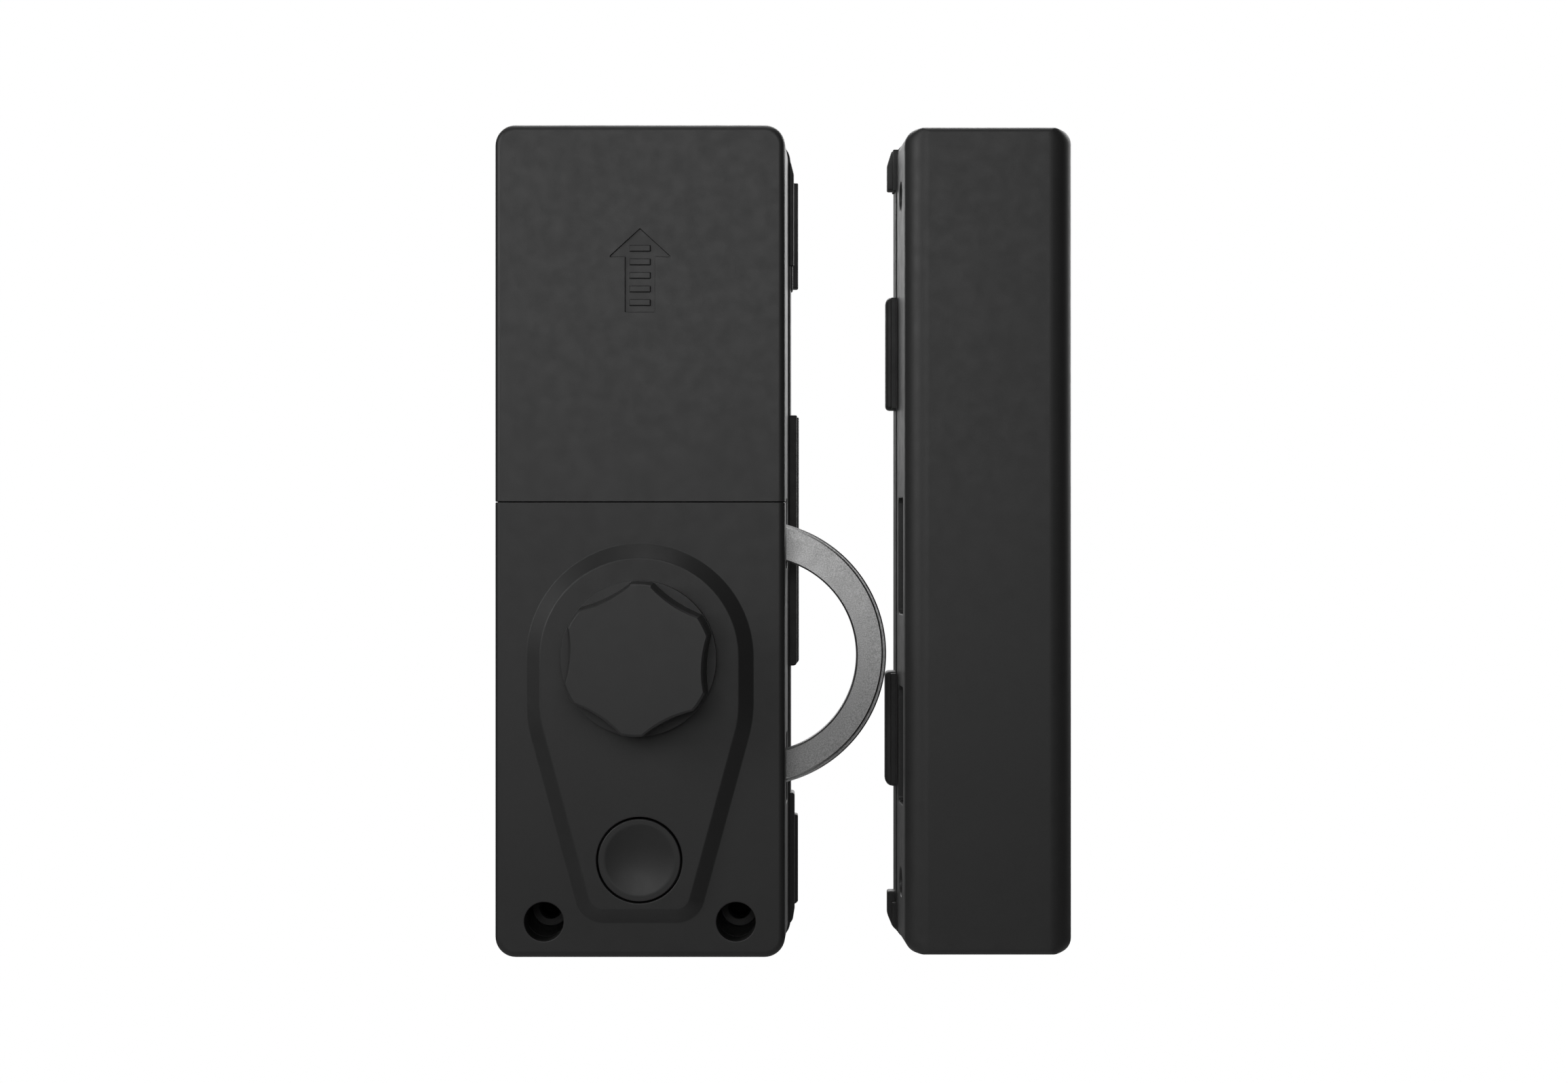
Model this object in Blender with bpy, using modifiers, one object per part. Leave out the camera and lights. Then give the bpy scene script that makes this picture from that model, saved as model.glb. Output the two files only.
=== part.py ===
"""Rim smart lock for the inside of a door: a lock body whose steel ring bolt swings out of two slots in
its side, and the strike box that the ring enters.

Frame: X to the right, Z up, the fronts face -Y. The origin is the centre of the lock body's rear face.
All sizes are in millimetres; MM turns them into metres when a mesh is made.
"""

import math

import bmesh
import bpy
from mathutils import Matrix, Vector

MM = 0.001

# ---- Driving dimensions, lock body ----
HALF_HEIGHT = 93.3
HALF_WIDTH = 32.45
LOCK_DRAFT = 0.028  # the side walls widen by this much for each millimetre towards the rear
LOCK_BASE_EXTRA = 0.55  # how far the base stands out beyond the frame at each side
FRONT_Y = -35.0
CORNER_R = 4.6
FRONT_EDGE_R = 1.2
GAP = 0.3
COVER_BACK_Y = -27.5
FRAME_FRONT_Y = COVER_BACK_Y + GAP
FRAME_BACK_Y = -9.6
BASE_FRONT_Y = FRAME_BACK_Y + GAP
BASE_BACK_Y = -1.3
BASE_FLOOR = 2.0
GASKET_FRONT_Y = -1.0
WALL = 2.1
FRONT_WALL = 2.2
SEAM_Z = 8.75  # between the battery cover above and the front housing below

# ---- Ring bolt ----
RING_X = 25.5
RING_Z = -26.0
RING_OUTER = (RING_X - 0.5, RING_Z + 0.45, 29.9)  # x, z and radius: the two rims aren't concentric
RING_INNER = (RING_X + 0.5, RING_Z - 0.3, 22.9)
RING_RIM = (RING_X - 0.3, RING_Z + 0.2, 30.2)  # the middle layer, which stands out beyond the front one
RING_FLANGE_INNER_R = 23.6
RING_FRONT_Y = -21.8
RING_RIM_Y = -18.9
RING_STEP_Y = -17.8
RING_BACK_Y = -14.8
RING_START = -86.0
RING_END = 99.0
GUIDE_R = 22.0

# ---- Gears, module 1 mm, 25 degree stub teeth ----
MODULE = 1.0
PRESSURE = math.radians(25.0)
ADDENDUM = 0.8
DEDENDUM = 1.0
BACKLASH = 0.3
RING_TEETH = 58
PINION_TEETH = 12
IDLER_TEETH = 16
KNOB_TEETH = 48
MOTOR_TEETH = 10
PINION_ANGLE = 96.5
MOTOR_ANGLE = 225.0
GEAR_FRONT_Y = -26.4
GEAR_BACK_Y = -23.9
PINION_FRONT_Y = -17.4
PINION_BACK_Y = -15.1
DRIVE_SHAFT_R = 2.0
IDLER_PIN_R = 1.5
MOTOR_SHAFT_R = 1.5
KNOB_PIVOT_R = 3.0
RUNNING = 0.08  # radial clearance of a shaft that turns in a hole
SEAT = 0.1  # radial clearance of pieces that turn together

# ---- Mechanism plates ----
PLATE_FRONT = (-23.6, -22.2)
PLATE_REAR = (-14.4, -12.8)
PLATE_HEAD_Y = PLATE_FRONT[0] - GAP  # where the plate screws' heads bear
POSTS = ((-8.0, 13.5), (-8.5, -61.0), (27.0, -62.5))
POST_TOP_Y = -12.5
POST_HOLE_R = 1.5
POST_HOLE_END_Y = -7.5

# ---- Knob and button ----
KNOB_Z = -26.0
KNOB_R = 17.3
KNOB_BACK_Y = -37.9
KNOB_SKIRT_Y = -41.4
KNOB_FRONT_Y = -51.5
LOBES = 6
LOBE_HALF_ANGLE = 8.0
SCALLOP_DEPTH = 1.9
KNOB_TURN = 26.6  # the angle of the first lobe
GRIP_R = 17.2
GRIP_FRONT_R = 16.65
SHAFT_R = 6.0
BOSS_FRONT_Y = -37.5
BOSS_R = 25.5
BOSS_BEVEL = 3.2
BOSS_BOTTOM_Z = -85.5
BOSS_BEND_Z = -40.0
BOSS_BOTTOM_HALF = 13.1
BUTTON_Z = -71.15
BUTTON_R = 9.2
BUTTON_HOLE_R = 9.6

# ---- Screw places ----
WELL_X = 21.5
WELL_Z = -85.2
WELL_R = 4.37
WELL_SEAT_Y = -12.0
FIXING_R = 2.3
BASE_SEAT_Y = -4.5  # where the base screws' heads bear
FRAME_SCREW_TIP_Y = -17.0
STRIKE_SCREW_TIP_Y = -15.0
BASE_SCREW_X = 28.4
BASE_SCREW_Z = (23.0, -70.0)
SCREW_HOLE_R = 1.2
GUSSET_HALF = 3.5

# ---- Batteries: four AA cells side by side ----
CELL_R = 7.1
CELL_PITCH = 14.6
CELL_Y = -19.6
CELL_LENGTH = 50.5
CELL_SPRING_SPACE = 6.8  # from the tray's end wall to the cell, at the end with the contact spring
TRAY_WALL = 1.2
TRAY_Z = (28.8, 90.8)
TRAY_HALF = 30.3
TRAY_FRONT_Y = -26.9
TRAY_BACK_Y = -10.2

# ---- Strike box ----
STRIKE_X = 78.4
STRIKE_HALF = 18.6
STRIKE_HALF_HEIGHT = 93.2
STRIKE_DRAFT = 0.05
STRIKE_FRONT_Y = -32.0
STRIKE_FRAME_BACK_Y = -8.5
STRIKE_BASE_FRONT_Y = -8.2
STRIKE_EDGE_R = 4.4
STRIKE_CORNER_R = 3.5
STRIKE_BASE_EXTRA = 0.2
STRIKE_SLOTS = ((-16.8, 9.9), (-60.3, -33.5))
STRIKE_SLOT_Y = (-23.65, -12.25)
STRIKE_HOLES = (79.2, -78.4)
STRIKE_HOLE_R = 3.45
STRIKE_GUSSETS = ((28.0, 35.0), (-71.0, -64.0))
LOCK_SLOTS = ((-6.3, 9.6), (-60.1, -44.0))
LOCK_SLOT_Y = (-23.8, -12.8)

# ---- Interlocking tabs on the two bases, as (bottom, top, reach of the front half) ----
LOCK_TABS = ((58.5, 86.5, 0.95), (-29.1, 29.4, 1.85), (-88.5, -58.7, 1.2))
STRIKE_TABS = ((81.8, 91.2, 0.75), (30.7, 57.1, 1.1), (-57.0, -30.4, 1.1), (-90.6, -81.5, 0.75))
LOCK_TAB_REACH = 2.0  # of the rear half
STRIKE_TAB_REACH = 2.25
TAB_ROOT = 2.5  # how far a tab runs into its base
TAB_INSET = 1.0  # how much shorter the rear half is at each end

FINE = 40
ROUND = 20
SMALL = 12


# ---- Scene, collections and materials ----
def clear_scene():
    for old in list(bpy.data.objects):
        bpy.data.objects.remove(old, do_unlink=True)


def new_collection(name):
    collection = bpy.data.collections.new(name)
    bpy.context.scene.collection.children.link(collection)
    return collection


def new_material(name, colour, roughness, metallic=0.0):
    material = bpy.data.materials.new(name)
    material.use_nodes = True
    shader = material.node_tree.nodes["Principled BSDF"]
    shader.inputs["Base Color"].default_value = (*colour, 1.0)
    shader.inputs["Roughness"].default_value = roughness
    shader.inputs["Metallic"].default_value = metallic
    return material


clear_scene()
PARTS = new_collection("ring_bolt_smart_lock")
CUTTERS = new_collection("cutters")

BLACK = new_material("black_shell", (0.035, 0.035, 0.036), 0.42)
DARK = new_material("dark_base", (0.022, 0.022, 0.023), 0.55)
FRAME = new_material("frame_metal", (0.05, 0.05, 0.052), 0.4, 0.3)
STEEL = new_material("satin_steel", (0.55, 0.55, 0.54), 0.34, 1.0)
ZINC = new_material("zinc_plate", (0.5, 0.5, 0.5), 0.45, 1.0)
BRASS = new_material("brass_gear", (0.6, 0.45, 0.2), 0.35, 1.0)
NYLON = new_material("nylon_gear", (0.75, 0.74, 0.7), 0.5)
RUBBER = new_material("rubber", (0.02, 0.02, 0.02), 0.85)
BOARD = new_material("circuit_board", (0.02, 0.09, 0.04), 0.45)
CELL = new_material("cell_wrap", (0.12, 0.13, 0.15), 0.35, 0.2)
SPRING = new_material("spring_wire", (0.6, 0.58, 0.55), 0.3, 1.0)


# ---- Outlines: lists of (x, z) ----
def circle(x, z, radius, steps=ROUND):
    turn = 2 * math.pi / steps
    return [(x + radius * math.cos(turn * i), z + radius * math.sin(turn * i)) for i in range(steps)]


def arc(x, z, radius, start, end, steps):
    """Points from start to end, in degrees, both ends included."""
    points = []
    for i in range(steps + 1):
        angle = math.radians(start + (end - start) * i / steps)
        points.append((x + radius * math.cos(angle), z + radius * math.sin(angle)))
    return points


def rounded(corners, steps=6):
    """A closed outline through (x, z, radius) corners, each rounded by an arc of its radius."""
    points = []
    for i, (x, z, radius) in enumerate(corners):
        here = Vector((x, z))
        before = (Vector(corners[i - 1][:2]) - here).normalized()
        after = (Vector(corners[(i + 1) % len(corners)][:2]) - here).normalized()
        if radius == 0:
            points.append((x, z))
            continue
        half = before.angle(after) / 2
        centre = here + (before + after).normalized() * radius / math.sin(half)
        first = here + before * radius / math.tan(half) - centre
        sweep = first.angle_signed(here + after * radius / math.tan(half) - centre)
        for step in range(steps + 1):
            turned_by = Matrix.Rotation(-sweep * step / steps, 2)
            points.append(tuple(centre + turned_by @ first))
    return points


def box_outline(x0, x1, z0, z1, radius=0.0, steps=6):
    return rounded([(x1, z1, radius), (x0, z1, radius), (x0, z0, radius), (x1, z0, radius)], steps)


def notched_outline(centre_x, half_width, z0, z1, notches):
    """A rectangle whose two sides step in to notch[2] from the centre between notch[0] and notch[1]."""
    right = []
    slope = 0.4
    for low, high, inner in sorted(notches):
        start = [(half_width, low), (inner, low + slope)] if low > z0 + GAP else [(inner, z0)]
        right += start + [(inner, high - slope), (half_width, high)]
    if min(notches)[0] > z0 + GAP:
        right.insert(0, (half_width, z0))
    right.append((half_width, z1))
    left = [(-x, z) for x, z in reversed(right)]
    return [(centre_x + x, z) for x, z in right + left]


# ---- Gear outlines ----
def involute(angle):
    return math.tan(angle) - angle


def tooth_half_angle(teeth, radius):
    """Half the angle that a tooth spans at this radius."""
    pitch_r = MODULE * teeth / 2
    base_r = pitch_r * math.cos(PRESSURE)
    at_pitch = math.pi / (2 * teeth) - BACKLASH / (4 * pitch_r)
    at_radius = math.acos(min(1.0, base_r / radius))
    return at_pitch + involute(PRESSURE) - involute(at_radius)


def tooth_points(x, z, teeth, angle):
    """One tooth centred on angle, in radians: root, pitch and tip on each side."""
    pitch_r = MODULE * teeth / 2
    radii = (pitch_r - DEDENDUM, pitch_r, pitch_r + ADDENDUM)
    halves = [tooth_half_angle(teeth, radius) for radius in radii]
    sides = [(r, -h) for r, h in zip(radii, halves)] + [(r, h) for r, h in zip(radii[::-1], halves[::-1])]
    return [(x + r * math.cos(angle + h), z + r * math.sin(angle + h)) for r, h in sides]


def gear_outline(x, z, teeth, phase):
    points = []
    for k in range(teeth):
        points += tooth_points(x, z, teeth, phase + 2 * math.pi * k / teeth)
    return points


def meshing_phase(teeth, phase, other_teeth, line_angle):
    """The phase of a gear that meshes with one of this phase, seen from it at line_angle."""
    return line_angle + math.pi - (math.pi - teeth * (line_angle - phase)) / other_teeth


def direction(start, end):
    return math.atan2(end[1] - start[1], end[0] - start[0])


def meeting_point(first, first_distance, second, second_distance):
    """The point at both distances from two centres, to the left of the line from first to second."""
    span = math.dist(first, second)
    along = (first_distance**2 - second_distance**2 + span**2) / (2 * span)
    off = math.sqrt(first_distance**2 - along**2)
    angle = direction(first, second)
    x = first[0] + along * math.cos(angle) - off * math.sin(angle)
    z = first[1] + along * math.sin(angle) + off * math.cos(angle)
    return x, z


def centre_distance(teeth, other_teeth):
    return MODULE * (teeth + other_teeth) / 2


RING_AXIS = (RING_X, RING_Z)
KNOB_AXIS = (0.0, KNOB_Z)
PINION_LINE = math.radians(PINION_ANGLE)
PINION_DISTANCE = centre_distance(RING_TEETH, PINION_TEETH)
DRIVE_AXIS = (
    RING_X + PINION_DISTANCE * math.cos(PINION_LINE),
    RING_Z + PINION_DISTANCE * math.sin(PINION_LINE),
)
IDLER_AXIS = meeting_point(
    KNOB_AXIS,
    centre_distance(KNOB_TEETH, IDLER_TEETH),
    DRIVE_AXIS,
    centre_distance(PINION_TEETH, IDLER_TEETH),
)
MOTOR_LINE = math.radians(MOTOR_ANGLE)
MOTOR_DISTANCE = centre_distance(KNOB_TEETH, MOTOR_TEETH)
MOTOR_AXIS = (
    MOTOR_DISTANCE * math.cos(MOTOR_LINE),
    KNOB_Z + MOTOR_DISTANCE * math.sin(MOTOR_LINE),
)
RING_PHASE = 0.0
DRIVE_PHASE = meshing_phase(RING_TEETH, RING_PHASE, PINION_TEETH, PINION_LINE)
IDLER_PHASE = meshing_phase(PINION_TEETH, DRIVE_PHASE, IDLER_TEETH, direction(DRIVE_AXIS, IDLER_AXIS))
KNOB_PHASE = meshing_phase(IDLER_TEETH, IDLER_PHASE, KNOB_TEETH, direction(IDLER_AXIS, KNOB_AXIS))
MOTOR_PHASE = meshing_phase(KNOB_TEETH, KNOB_PHASE, MOTOR_TEETH, MOTOR_LINE)


# ---- Solids ----
def outline_mesh(name, loops, low, high):
    """A flat outline, with any further loops as holes, extruded along local Z from low to high."""
    curve = bpy.data.curves.new(name, "CURVE")
    curve.dimensions = "2D"
    curve.fill_mode = "BOTH"
    curve.extrude = (high - low) / 2 * MM
    for loop in loops:
        spline = curve.splines.new("POLY")
        spline.points.add(len(loop) - 1)
        spline.use_cyclic_u = True
        for point, (x, y) in zip(spline.points, loop):
            point.co = (x * MM, y * MM, 0.0, 1.0)
    holder = bpy.data.objects.new(name, curve)
    holder.location.z = (high + low) / 2 * MM
    bpy.context.scene.collection.objects.link(holder)
    bpy.context.view_layer.update()
    graph = bpy.context.evaluated_depsgraph_get()
    mesh = bpy.data.meshes.new_from_object(holder.evaluated_get(graph))
    mesh.transform(holder.matrix_world)
    bpy.data.objects.remove(holder)
    bpy.data.curves.remove(curve)
    return mesh


def edit(mesh, change):
    """Runs change(bm) on a mesh and writes the result back with its faces pointing out."""
    bm = bmesh.new()
    bm.from_mesh(mesh)
    change(bm)
    bmesh.ops.recalc_face_normals(bm, faces=bm.faces)
    if bm.calc_volume(signed=True) < 0:
        bmesh.ops.reverse_faces(bm, faces=bm.faces)
    bm.to_mesh(mesh)
    bm.free()


def weld(bm):
    bmesh.ops.remove_doubles(bm, verts=bm.verts, dist=1e-6)
    bmesh.ops.dissolve_limit(bm, angle_limit=0.001, verts=bm.verts, edges=bm.edges)


def faced(loops, front_y, back_y, name="outline"):
    """An outline in XZ, extruded from front_y to back_y. The caps stay whole where there is no hole."""
    mesh = outline_mesh(name, loops, -back_y, -front_y)
    edit(mesh, weld)
    mesh.transform(Matrix.Rotation(math.pi / 2, 4, "X"))
    return mesh


def soften_front(mesh, front_y, radius, segments=2):
    """Rounds the rim of the front cap."""

    def change(bm):
        rim = [e for e in bm.edges if all(abs(v.co.y - front_y * MM) < 1e-6 for v in e.verts)]
        bmesh.ops.bevel(
            bm, geom=rim, offset=radius * MM, segments=segments, profile=0.5, affect="EDGES", clamp_overlap=True
        )

    edit(mesh, change)


def taper(mesh, centre_x, draft, half_width, front_y):
    """Widens a mesh from front_y towards the rear, so that its sides get the draft."""
    for vertex in mesh.vertices:
        growth = 1 + draft * (vertex.co.y / MM - front_y) / half_width
        vertex.co.x = (centre_x + (vertex.co.x / MM - centre_x) * growth) * MM


def lock_taper(mesh):
    taper(mesh, 0.0, LOCK_DRAFT, HALF_WIDTH, FRONT_Y)
    return mesh


def strike_taper(mesh):
    taper(mesh, STRIKE_X, STRIKE_DRAFT, STRIKE_HALF, STRIKE_FRONT_Y)
    return mesh


def set_smooth(mesh):
    mesh.shade_smooth()
    mesh.set_sharp_from_angle(angle=math.radians(30))


def add_node(name, mesh, material, origin=None):
    """Adds a named sub-part. origin is the (x, z) of the axis that it turns on."""
    mesh.name = name
    mesh.materials.clear()
    mesh.materials.append(material)
    set_smooth(mesh)
    node = bpy.data.objects.new(name, mesh)
    if origin:
        place = Vector((origin[0] * MM, 0.0, origin[1] * MM))
        mesh.transform(Matrix.Translation(-place))
        node.location = place
    PARTS.objects.link(node)
    return node


def add_cutter(name, mesh):
    cutter = bpy.data.objects.new(name, mesh)
    cutter.hide_render = True
    cutter.display_type = "WIRE"
    CUTTERS.objects.link(cutter)
    return cutter


def combine(node, mesh, operation="DIFFERENCE"):
    """Cuts a mesh from a node, or joins or intersects it."""
    modifier = node.modifiers.new(operation.title(), "BOOLEAN")
    modifier.operation = operation
    modifier.solver = "EXACT"
    modifier.object = add_cutter(f"{node.name}_{operation.lower()}_{len(node.modifiers)}", mesh)


def box(x0, x1, y0, y1, z0, z1):
    """A box between two corners."""
    bm = bmesh.new()
    bmesh.ops.create_cube(bm, size=MM)
    size = Matrix.Diagonal((x1 - x0, y1 - y0, z1 - z0, 1.0))
    place = Matrix.Translation(Vector(((x0 + x1) / 2, (y0 + y1) / 2, (z0 + z1) / 2)) * MM)
    bm.transform(place @ size)
    mesh = bpy.data.meshes.new("box")
    bm.to_mesh(mesh)
    bm.free()
    return mesh


def turned_mesh(profile, steps):
    """A profile of (radius, height) points, from top to bottom on the outside, turned about local Z."""
    on_axis = profile[0][0] == 0
    mesh = bpy.data.meshes.new("profile")
    count = len(profile)
    edges = [(i, i + 1) for i in range(count - 1)]
    if not on_axis:
        edges.append((count - 1, 0))
    mesh.from_pydata([(r * MM, 0.0, h * MM) for r, h in profile], edges, [])
    holder = bpy.data.objects.new("profile", mesh)
    bpy.context.scene.collection.objects.link(holder)
    screw = holder.modifiers.new("Screw", "SCREW")
    screw.steps = steps
    screw.render_steps = steps
    screw.use_merge_vertices = True
    screw.merge_threshold = 1e-6
    bpy.context.view_layer.update()
    graph = bpy.context.evaluated_depsgraph_get()
    turned = bpy.data.meshes.new_from_object(holder.evaluated_get(graph))
    bpy.data.objects.remove(holder)
    bpy.data.meshes.remove(mesh)
    edit(turned, weld)
    return turned


def turned(x, z, profile, steps=ROUND):
    """A profile of (radius, y) points, from front to back on the outside, turned about the Y axis at x, z."""
    mesh = turned_mesh([(r, -y) for r, y in profile], steps)
    mesh.transform(Matrix.Translation((x * MM, 0.0, z * MM)) @ Matrix.Rotation(math.pi / 2, 4, "X"))
    return mesh


def stepped(x, z, sections, steps=ROUND):
    """A solid shaft of (radius, front y, back y) sections, listed from front to back."""
    profile = [(0.0, sections[0][1])]
    for radius, front_y, back_y in sections:
        profile += [(radius, front_y), (radius, back_y)]
    profile.append((0.0, sections[-1][2]))
    return turned(x, z, profile, steps)


def sleeve(x, z, outer_r, inner_r, front_y, back_y, steps=ROUND):
    return turned(x, z, [(outer_r, front_y), (outer_r, back_y), (inner_r, back_y), (inner_r, front_y)], steps)


# ---- Lock body shells ----
def add_cavity(node, outline, front_y, back_y, shape=lock_taper):
    combine(node, shape(faced([outline], front_y, back_y)))


def drill(node, x, z, sections, steps=ROUND):
    combine(node, stepped(x, z, sections, steps))


def build_battery_cover():
    top = HALF_HEIGHT
    low = SEAM_Z + GAP / 2
    outline = rounded(
        [
            (HALF_WIDTH, top, CORNER_R),
            (-HALF_WIDTH, top, CORNER_R),
            (-HALF_WIDTH, low, 0),
            (HALF_WIDTH, low, 0),
        ]
    )
    mesh = faced([outline], FRONT_Y, COVER_BACK_Y)
    soften_front(mesh, FRONT_Y, FRONT_EDGE_R)
    cover = add_node("battery_cover", lock_taper(mesh), BLACK)
    inner = HALF_WIDTH - WALL
    cavity = box_outline(-inner, inner, low + WALL, top - WALL, CORNER_R - WALL, 3)
    add_cavity(cover, cavity, FRONT_Y + FRONT_WALL, COVER_BACK_Y + 1)
    combine(cover, faced(arrow_loops(), FRONT_Y - 1, FRONT_Y + 0.5))


def arrow_loops():
    """An upward arrow with five raised grip bars left standing in it."""
    apex = 70.0
    head_half = 7.1
    head_height = 6.5
    shaft_half = 3.35
    shaft_top = apex - head_height + 0.2
    bottom = 51.2
    arrow = [
        (0, apex),
        (-head_half, apex - head_height),
        (-shaft_half, shaft_top),
        (-shaft_half, bottom),
        (shaft_half, bottom),
        (shaft_half, shaft_top),
        (head_half, apex - head_height),
    ]
    bar_half = 2.35
    bar_height = 1.45
    first_bar = 53.4
    bar_pitch = 3.04
    loops = [arrow]
    for i in range(5):
        z = first_bar + bar_pitch * i
        loops.append(box_outline(-bar_half, bar_half, z - bar_height / 2, z + bar_height / 2))
    return loops


def teardrop_outline():
    top = KNOB_Z + BOSS_R
    side_blend_r = 30.0
    bottom_corner_r = 6.5
    return rounded(
        [
            (BOSS_R, top, BOSS_R),
            (-BOSS_R, top, BOSS_R),
            (-BOSS_R, BOSS_BEND_Z, side_blend_r),
            (-BOSS_BOTTOM_HALF, BOSS_BOTTOM_Z, bottom_corner_r),
            (BOSS_BOTTOM_HALF, BOSS_BOTTOM_Z, bottom_corner_r),
            (BOSS_R, BOSS_BEND_Z, side_blend_r),
        ],
        8,
    )


def boss_mesh():
    """The raised teardrop round the knob and the button, with a wide bevel round its edge."""
    sunk = 1.0
    proud = 0.1
    mesh = faced([teardrop_outline()], FRONT_Y - proud, FRONT_Y + sunk)
    rise = FRONT_Y - proud - BOSS_FRONT_Y

    def raise_front(bm):
        front = [f for f in bm.faces if f.normal.y < -0.9]
        bmesh.ops.inset_region(
            bm, faces=front, thickness=BOSS_BEVEL * MM, depth=rise * MM, use_even_offset=True
        )

    edit(mesh, raise_front)
    return mesh


def build_front_housing():
    top = SEAM_Z - GAP / 2
    outline = rounded(
        [
            (HALF_WIDTH, top, 0),
            (-HALF_WIDTH, top, 0),
            (-HALF_WIDTH, -HALF_HEIGHT, CORNER_R),
            (HALF_WIDTH, -HALF_HEIGHT, CORNER_R),
        ]
    )
    mesh = faced([outline], FRONT_Y, COVER_BACK_Y)
    soften_front(mesh, FRONT_Y, FRONT_EDGE_R)
    housing = add_node("front_housing", lock_taper(mesh), BLACK)
    combine(housing, boss_mesh(), "UNION")
    inner = HALF_WIDTH - WALL
    cavity = box_outline(-inner, inner, WALL - HALF_HEIGHT, top - WALL, CORNER_R - WALL, 3)
    tube_r = WELL_R + 1.4
    tubes = [circle(side * WELL_X, WELL_Z, tube_r) for side in (-1, 1)]
    combine(housing, faced([cavity, *tubes], FRONT_Y + FRONT_WALL, COVER_BACK_Y + 1))
    for side in (-1, 1):
        drill(housing, side * WELL_X, WELL_Z, [(WELL_R, FRONT_Y - 1, COVER_BACK_Y + 1)], FINE)
    drill(housing, 0, KNOB_Z, [(SHAFT_R + RUNNING, BOSS_FRONT_Y - 1, COVER_BACK_Y)], FINE)
    drill(housing, 0, BUTTON_Z, [(BUTTON_HOLE_R, BOSS_FRONT_Y - 1, COVER_BACK_Y)], FINE)


def chassis_notches():
    """Solid blocks inside the walls: round the two screw wells and for the base screws."""
    blocks = [(WALL + 0.3 - HALF_HEIGHT, -79.2, 15.2)]
    for z in BASE_SCREW_Z:
        blocks.append((z - GUSSET_HALF, z + GUSSET_HALF, BASE_SCREW_X - 2.2))
    return blocks


def build_chassis_frame():
    outline = box_outline(-HALF_WIDTH, HALF_WIDTH, -HALF_HEIGHT, HALF_HEIGHT, CORNER_R)
    frame = add_node("chassis_frame", lock_taper(faced([outline], FRAME_FRONT_Y, FRAME_BACK_Y)), FRAME)
    inner_z = HALF_HEIGHT - WALL - 0.3
    hollow = notched_outline(0, HALF_WIDTH - WALL, -inner_z, inner_z, chassis_notches())
    add_cavity(frame, hollow, FRAME_FRONT_Y - 1, FRAME_BACK_Y + 1)
    for low, high in LOCK_SLOTS:
        combine(frame, box(HALF_WIDTH - 4, HALF_WIDTH + 4, *LOCK_SLOT_Y, low, high))
    for side in (-1, 1):
        well = [(WELL_R, FRAME_FRONT_Y - 1, WELL_SEAT_Y), (FIXING_R, WELL_SEAT_Y, FRAME_BACK_Y + 1)]
        drill(frame, side * WELL_X, WELL_Z, well, FINE)
    for x, z in base_screw_places():
        drill(frame, x, z, [(SCREW_HOLE_R, FRAME_SCREW_TIP_Y - 1, FRAME_BACK_Y + 1)], SMALL)


def tab_outline(near, far, low, high):
    """A tab's outline, with its two ends sloping in towards its outer edge."""
    slope = 1.2
    return [(near, low), (far, low + slope), (far, high - slope), (near, high)]


def join_tabs(node, tabs, side, edge, rear_reach, front_y, back_y):
    """Joins the interlocking tabs to a base's side. Each has a step, and its rear half reaches further."""
    near = edge - side * TAB_ROOT
    step_y = (front_y + back_y) / 2
    for low, high, front_reach in tabs:
        front_half = tab_outline(near, edge + side * front_reach, low, high)
        combine(node, faced([front_half], front_y, step_y), "UNION")
        rear_half = tab_outline(near, edge + side * rear_reach, low + TAB_INSET, high - TAB_INSET)
        combine(node, faced([rear_half], step_y - 0.1, back_y), "UNION")


def drill_base_screws(base, places, front_y):
    """A clearance hole for each shank, with a counterbore for its head from the rear."""
    shank_r = 1.4
    head_r = 2.9
    for x, z in places:
        drill(base, x, z, [(shank_r, front_y - 1, BASE_SEAT_Y), (head_r, BASE_SEAT_Y, BASE_BACK_Y + 1)], SMALL)


def base_screw_places():
    return [(side * BASE_SCREW_X, z) for side in (-1, 1) for z in BASE_SCREW_Z]


def build_base_plate():
    half = HALF_WIDTH + LOCK_BASE_EXTRA
    outline = box_outline(-half, half, -HALF_HEIGHT, HALF_HEIGHT, CORNER_R)
    base = add_node("base_plate", lock_taper(faced([outline], BASE_FRONT_Y, BASE_BACK_Y)), DARK)
    inner_z = HALF_HEIGHT - WALL - 0.3
    hollow = notched_outline(0, HALF_WIDTH - WALL, -inner_z, inner_z, chassis_notches())
    add_cavity(base, hollow, BASE_FRONT_Y - 1, BASE_BACK_Y - BASE_FLOOR)
    post_r = 3.5
    for x, z in POSTS:
        combine(base, stepped(x, z, [(post_r, POST_TOP_Y, BASE_BACK_Y - 1)], SMALL), "UNION")
        drill(base, x, z, [(POST_HOLE_R, POST_TOP_Y - 1, POST_HOLE_END_Y)], SMALL)
    edge = lock_side(BASE_FRONT_Y) + LOCK_BASE_EXTRA
    join_tabs(base, LOCK_TABS, 1, edge, LOCK_TAB_REACH, BASE_FRONT_Y + 0.2, BASE_BACK_Y - 0.1)
    for side in (-1, 1):
        drill(base, side * WELL_X, WELL_Z, [(FIXING_R, BASE_FRONT_Y - 1, BASE_BACK_Y + 1)])
    drill_base_screws(base, base_screw_places(), BASE_FRONT_Y)


def lock_side(y):
    """The half width of the lock body at this depth."""
    return HALF_WIDTH + LOCK_DRAFT * (y - FRONT_Y)


def strike_side(y):
    return STRIKE_HALF + STRIKE_DRAFT * (y - STRIKE_FRONT_Y)


def pad_outline(centre_x, half_width):
    """The foam pad's rounded outline on a rear face."""
    half_height = 90.5
    corner_r = 3.5
    return box_outline(centre_x - half_width, centre_x + half_width, -half_height, half_height, corner_r, 4)


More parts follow.
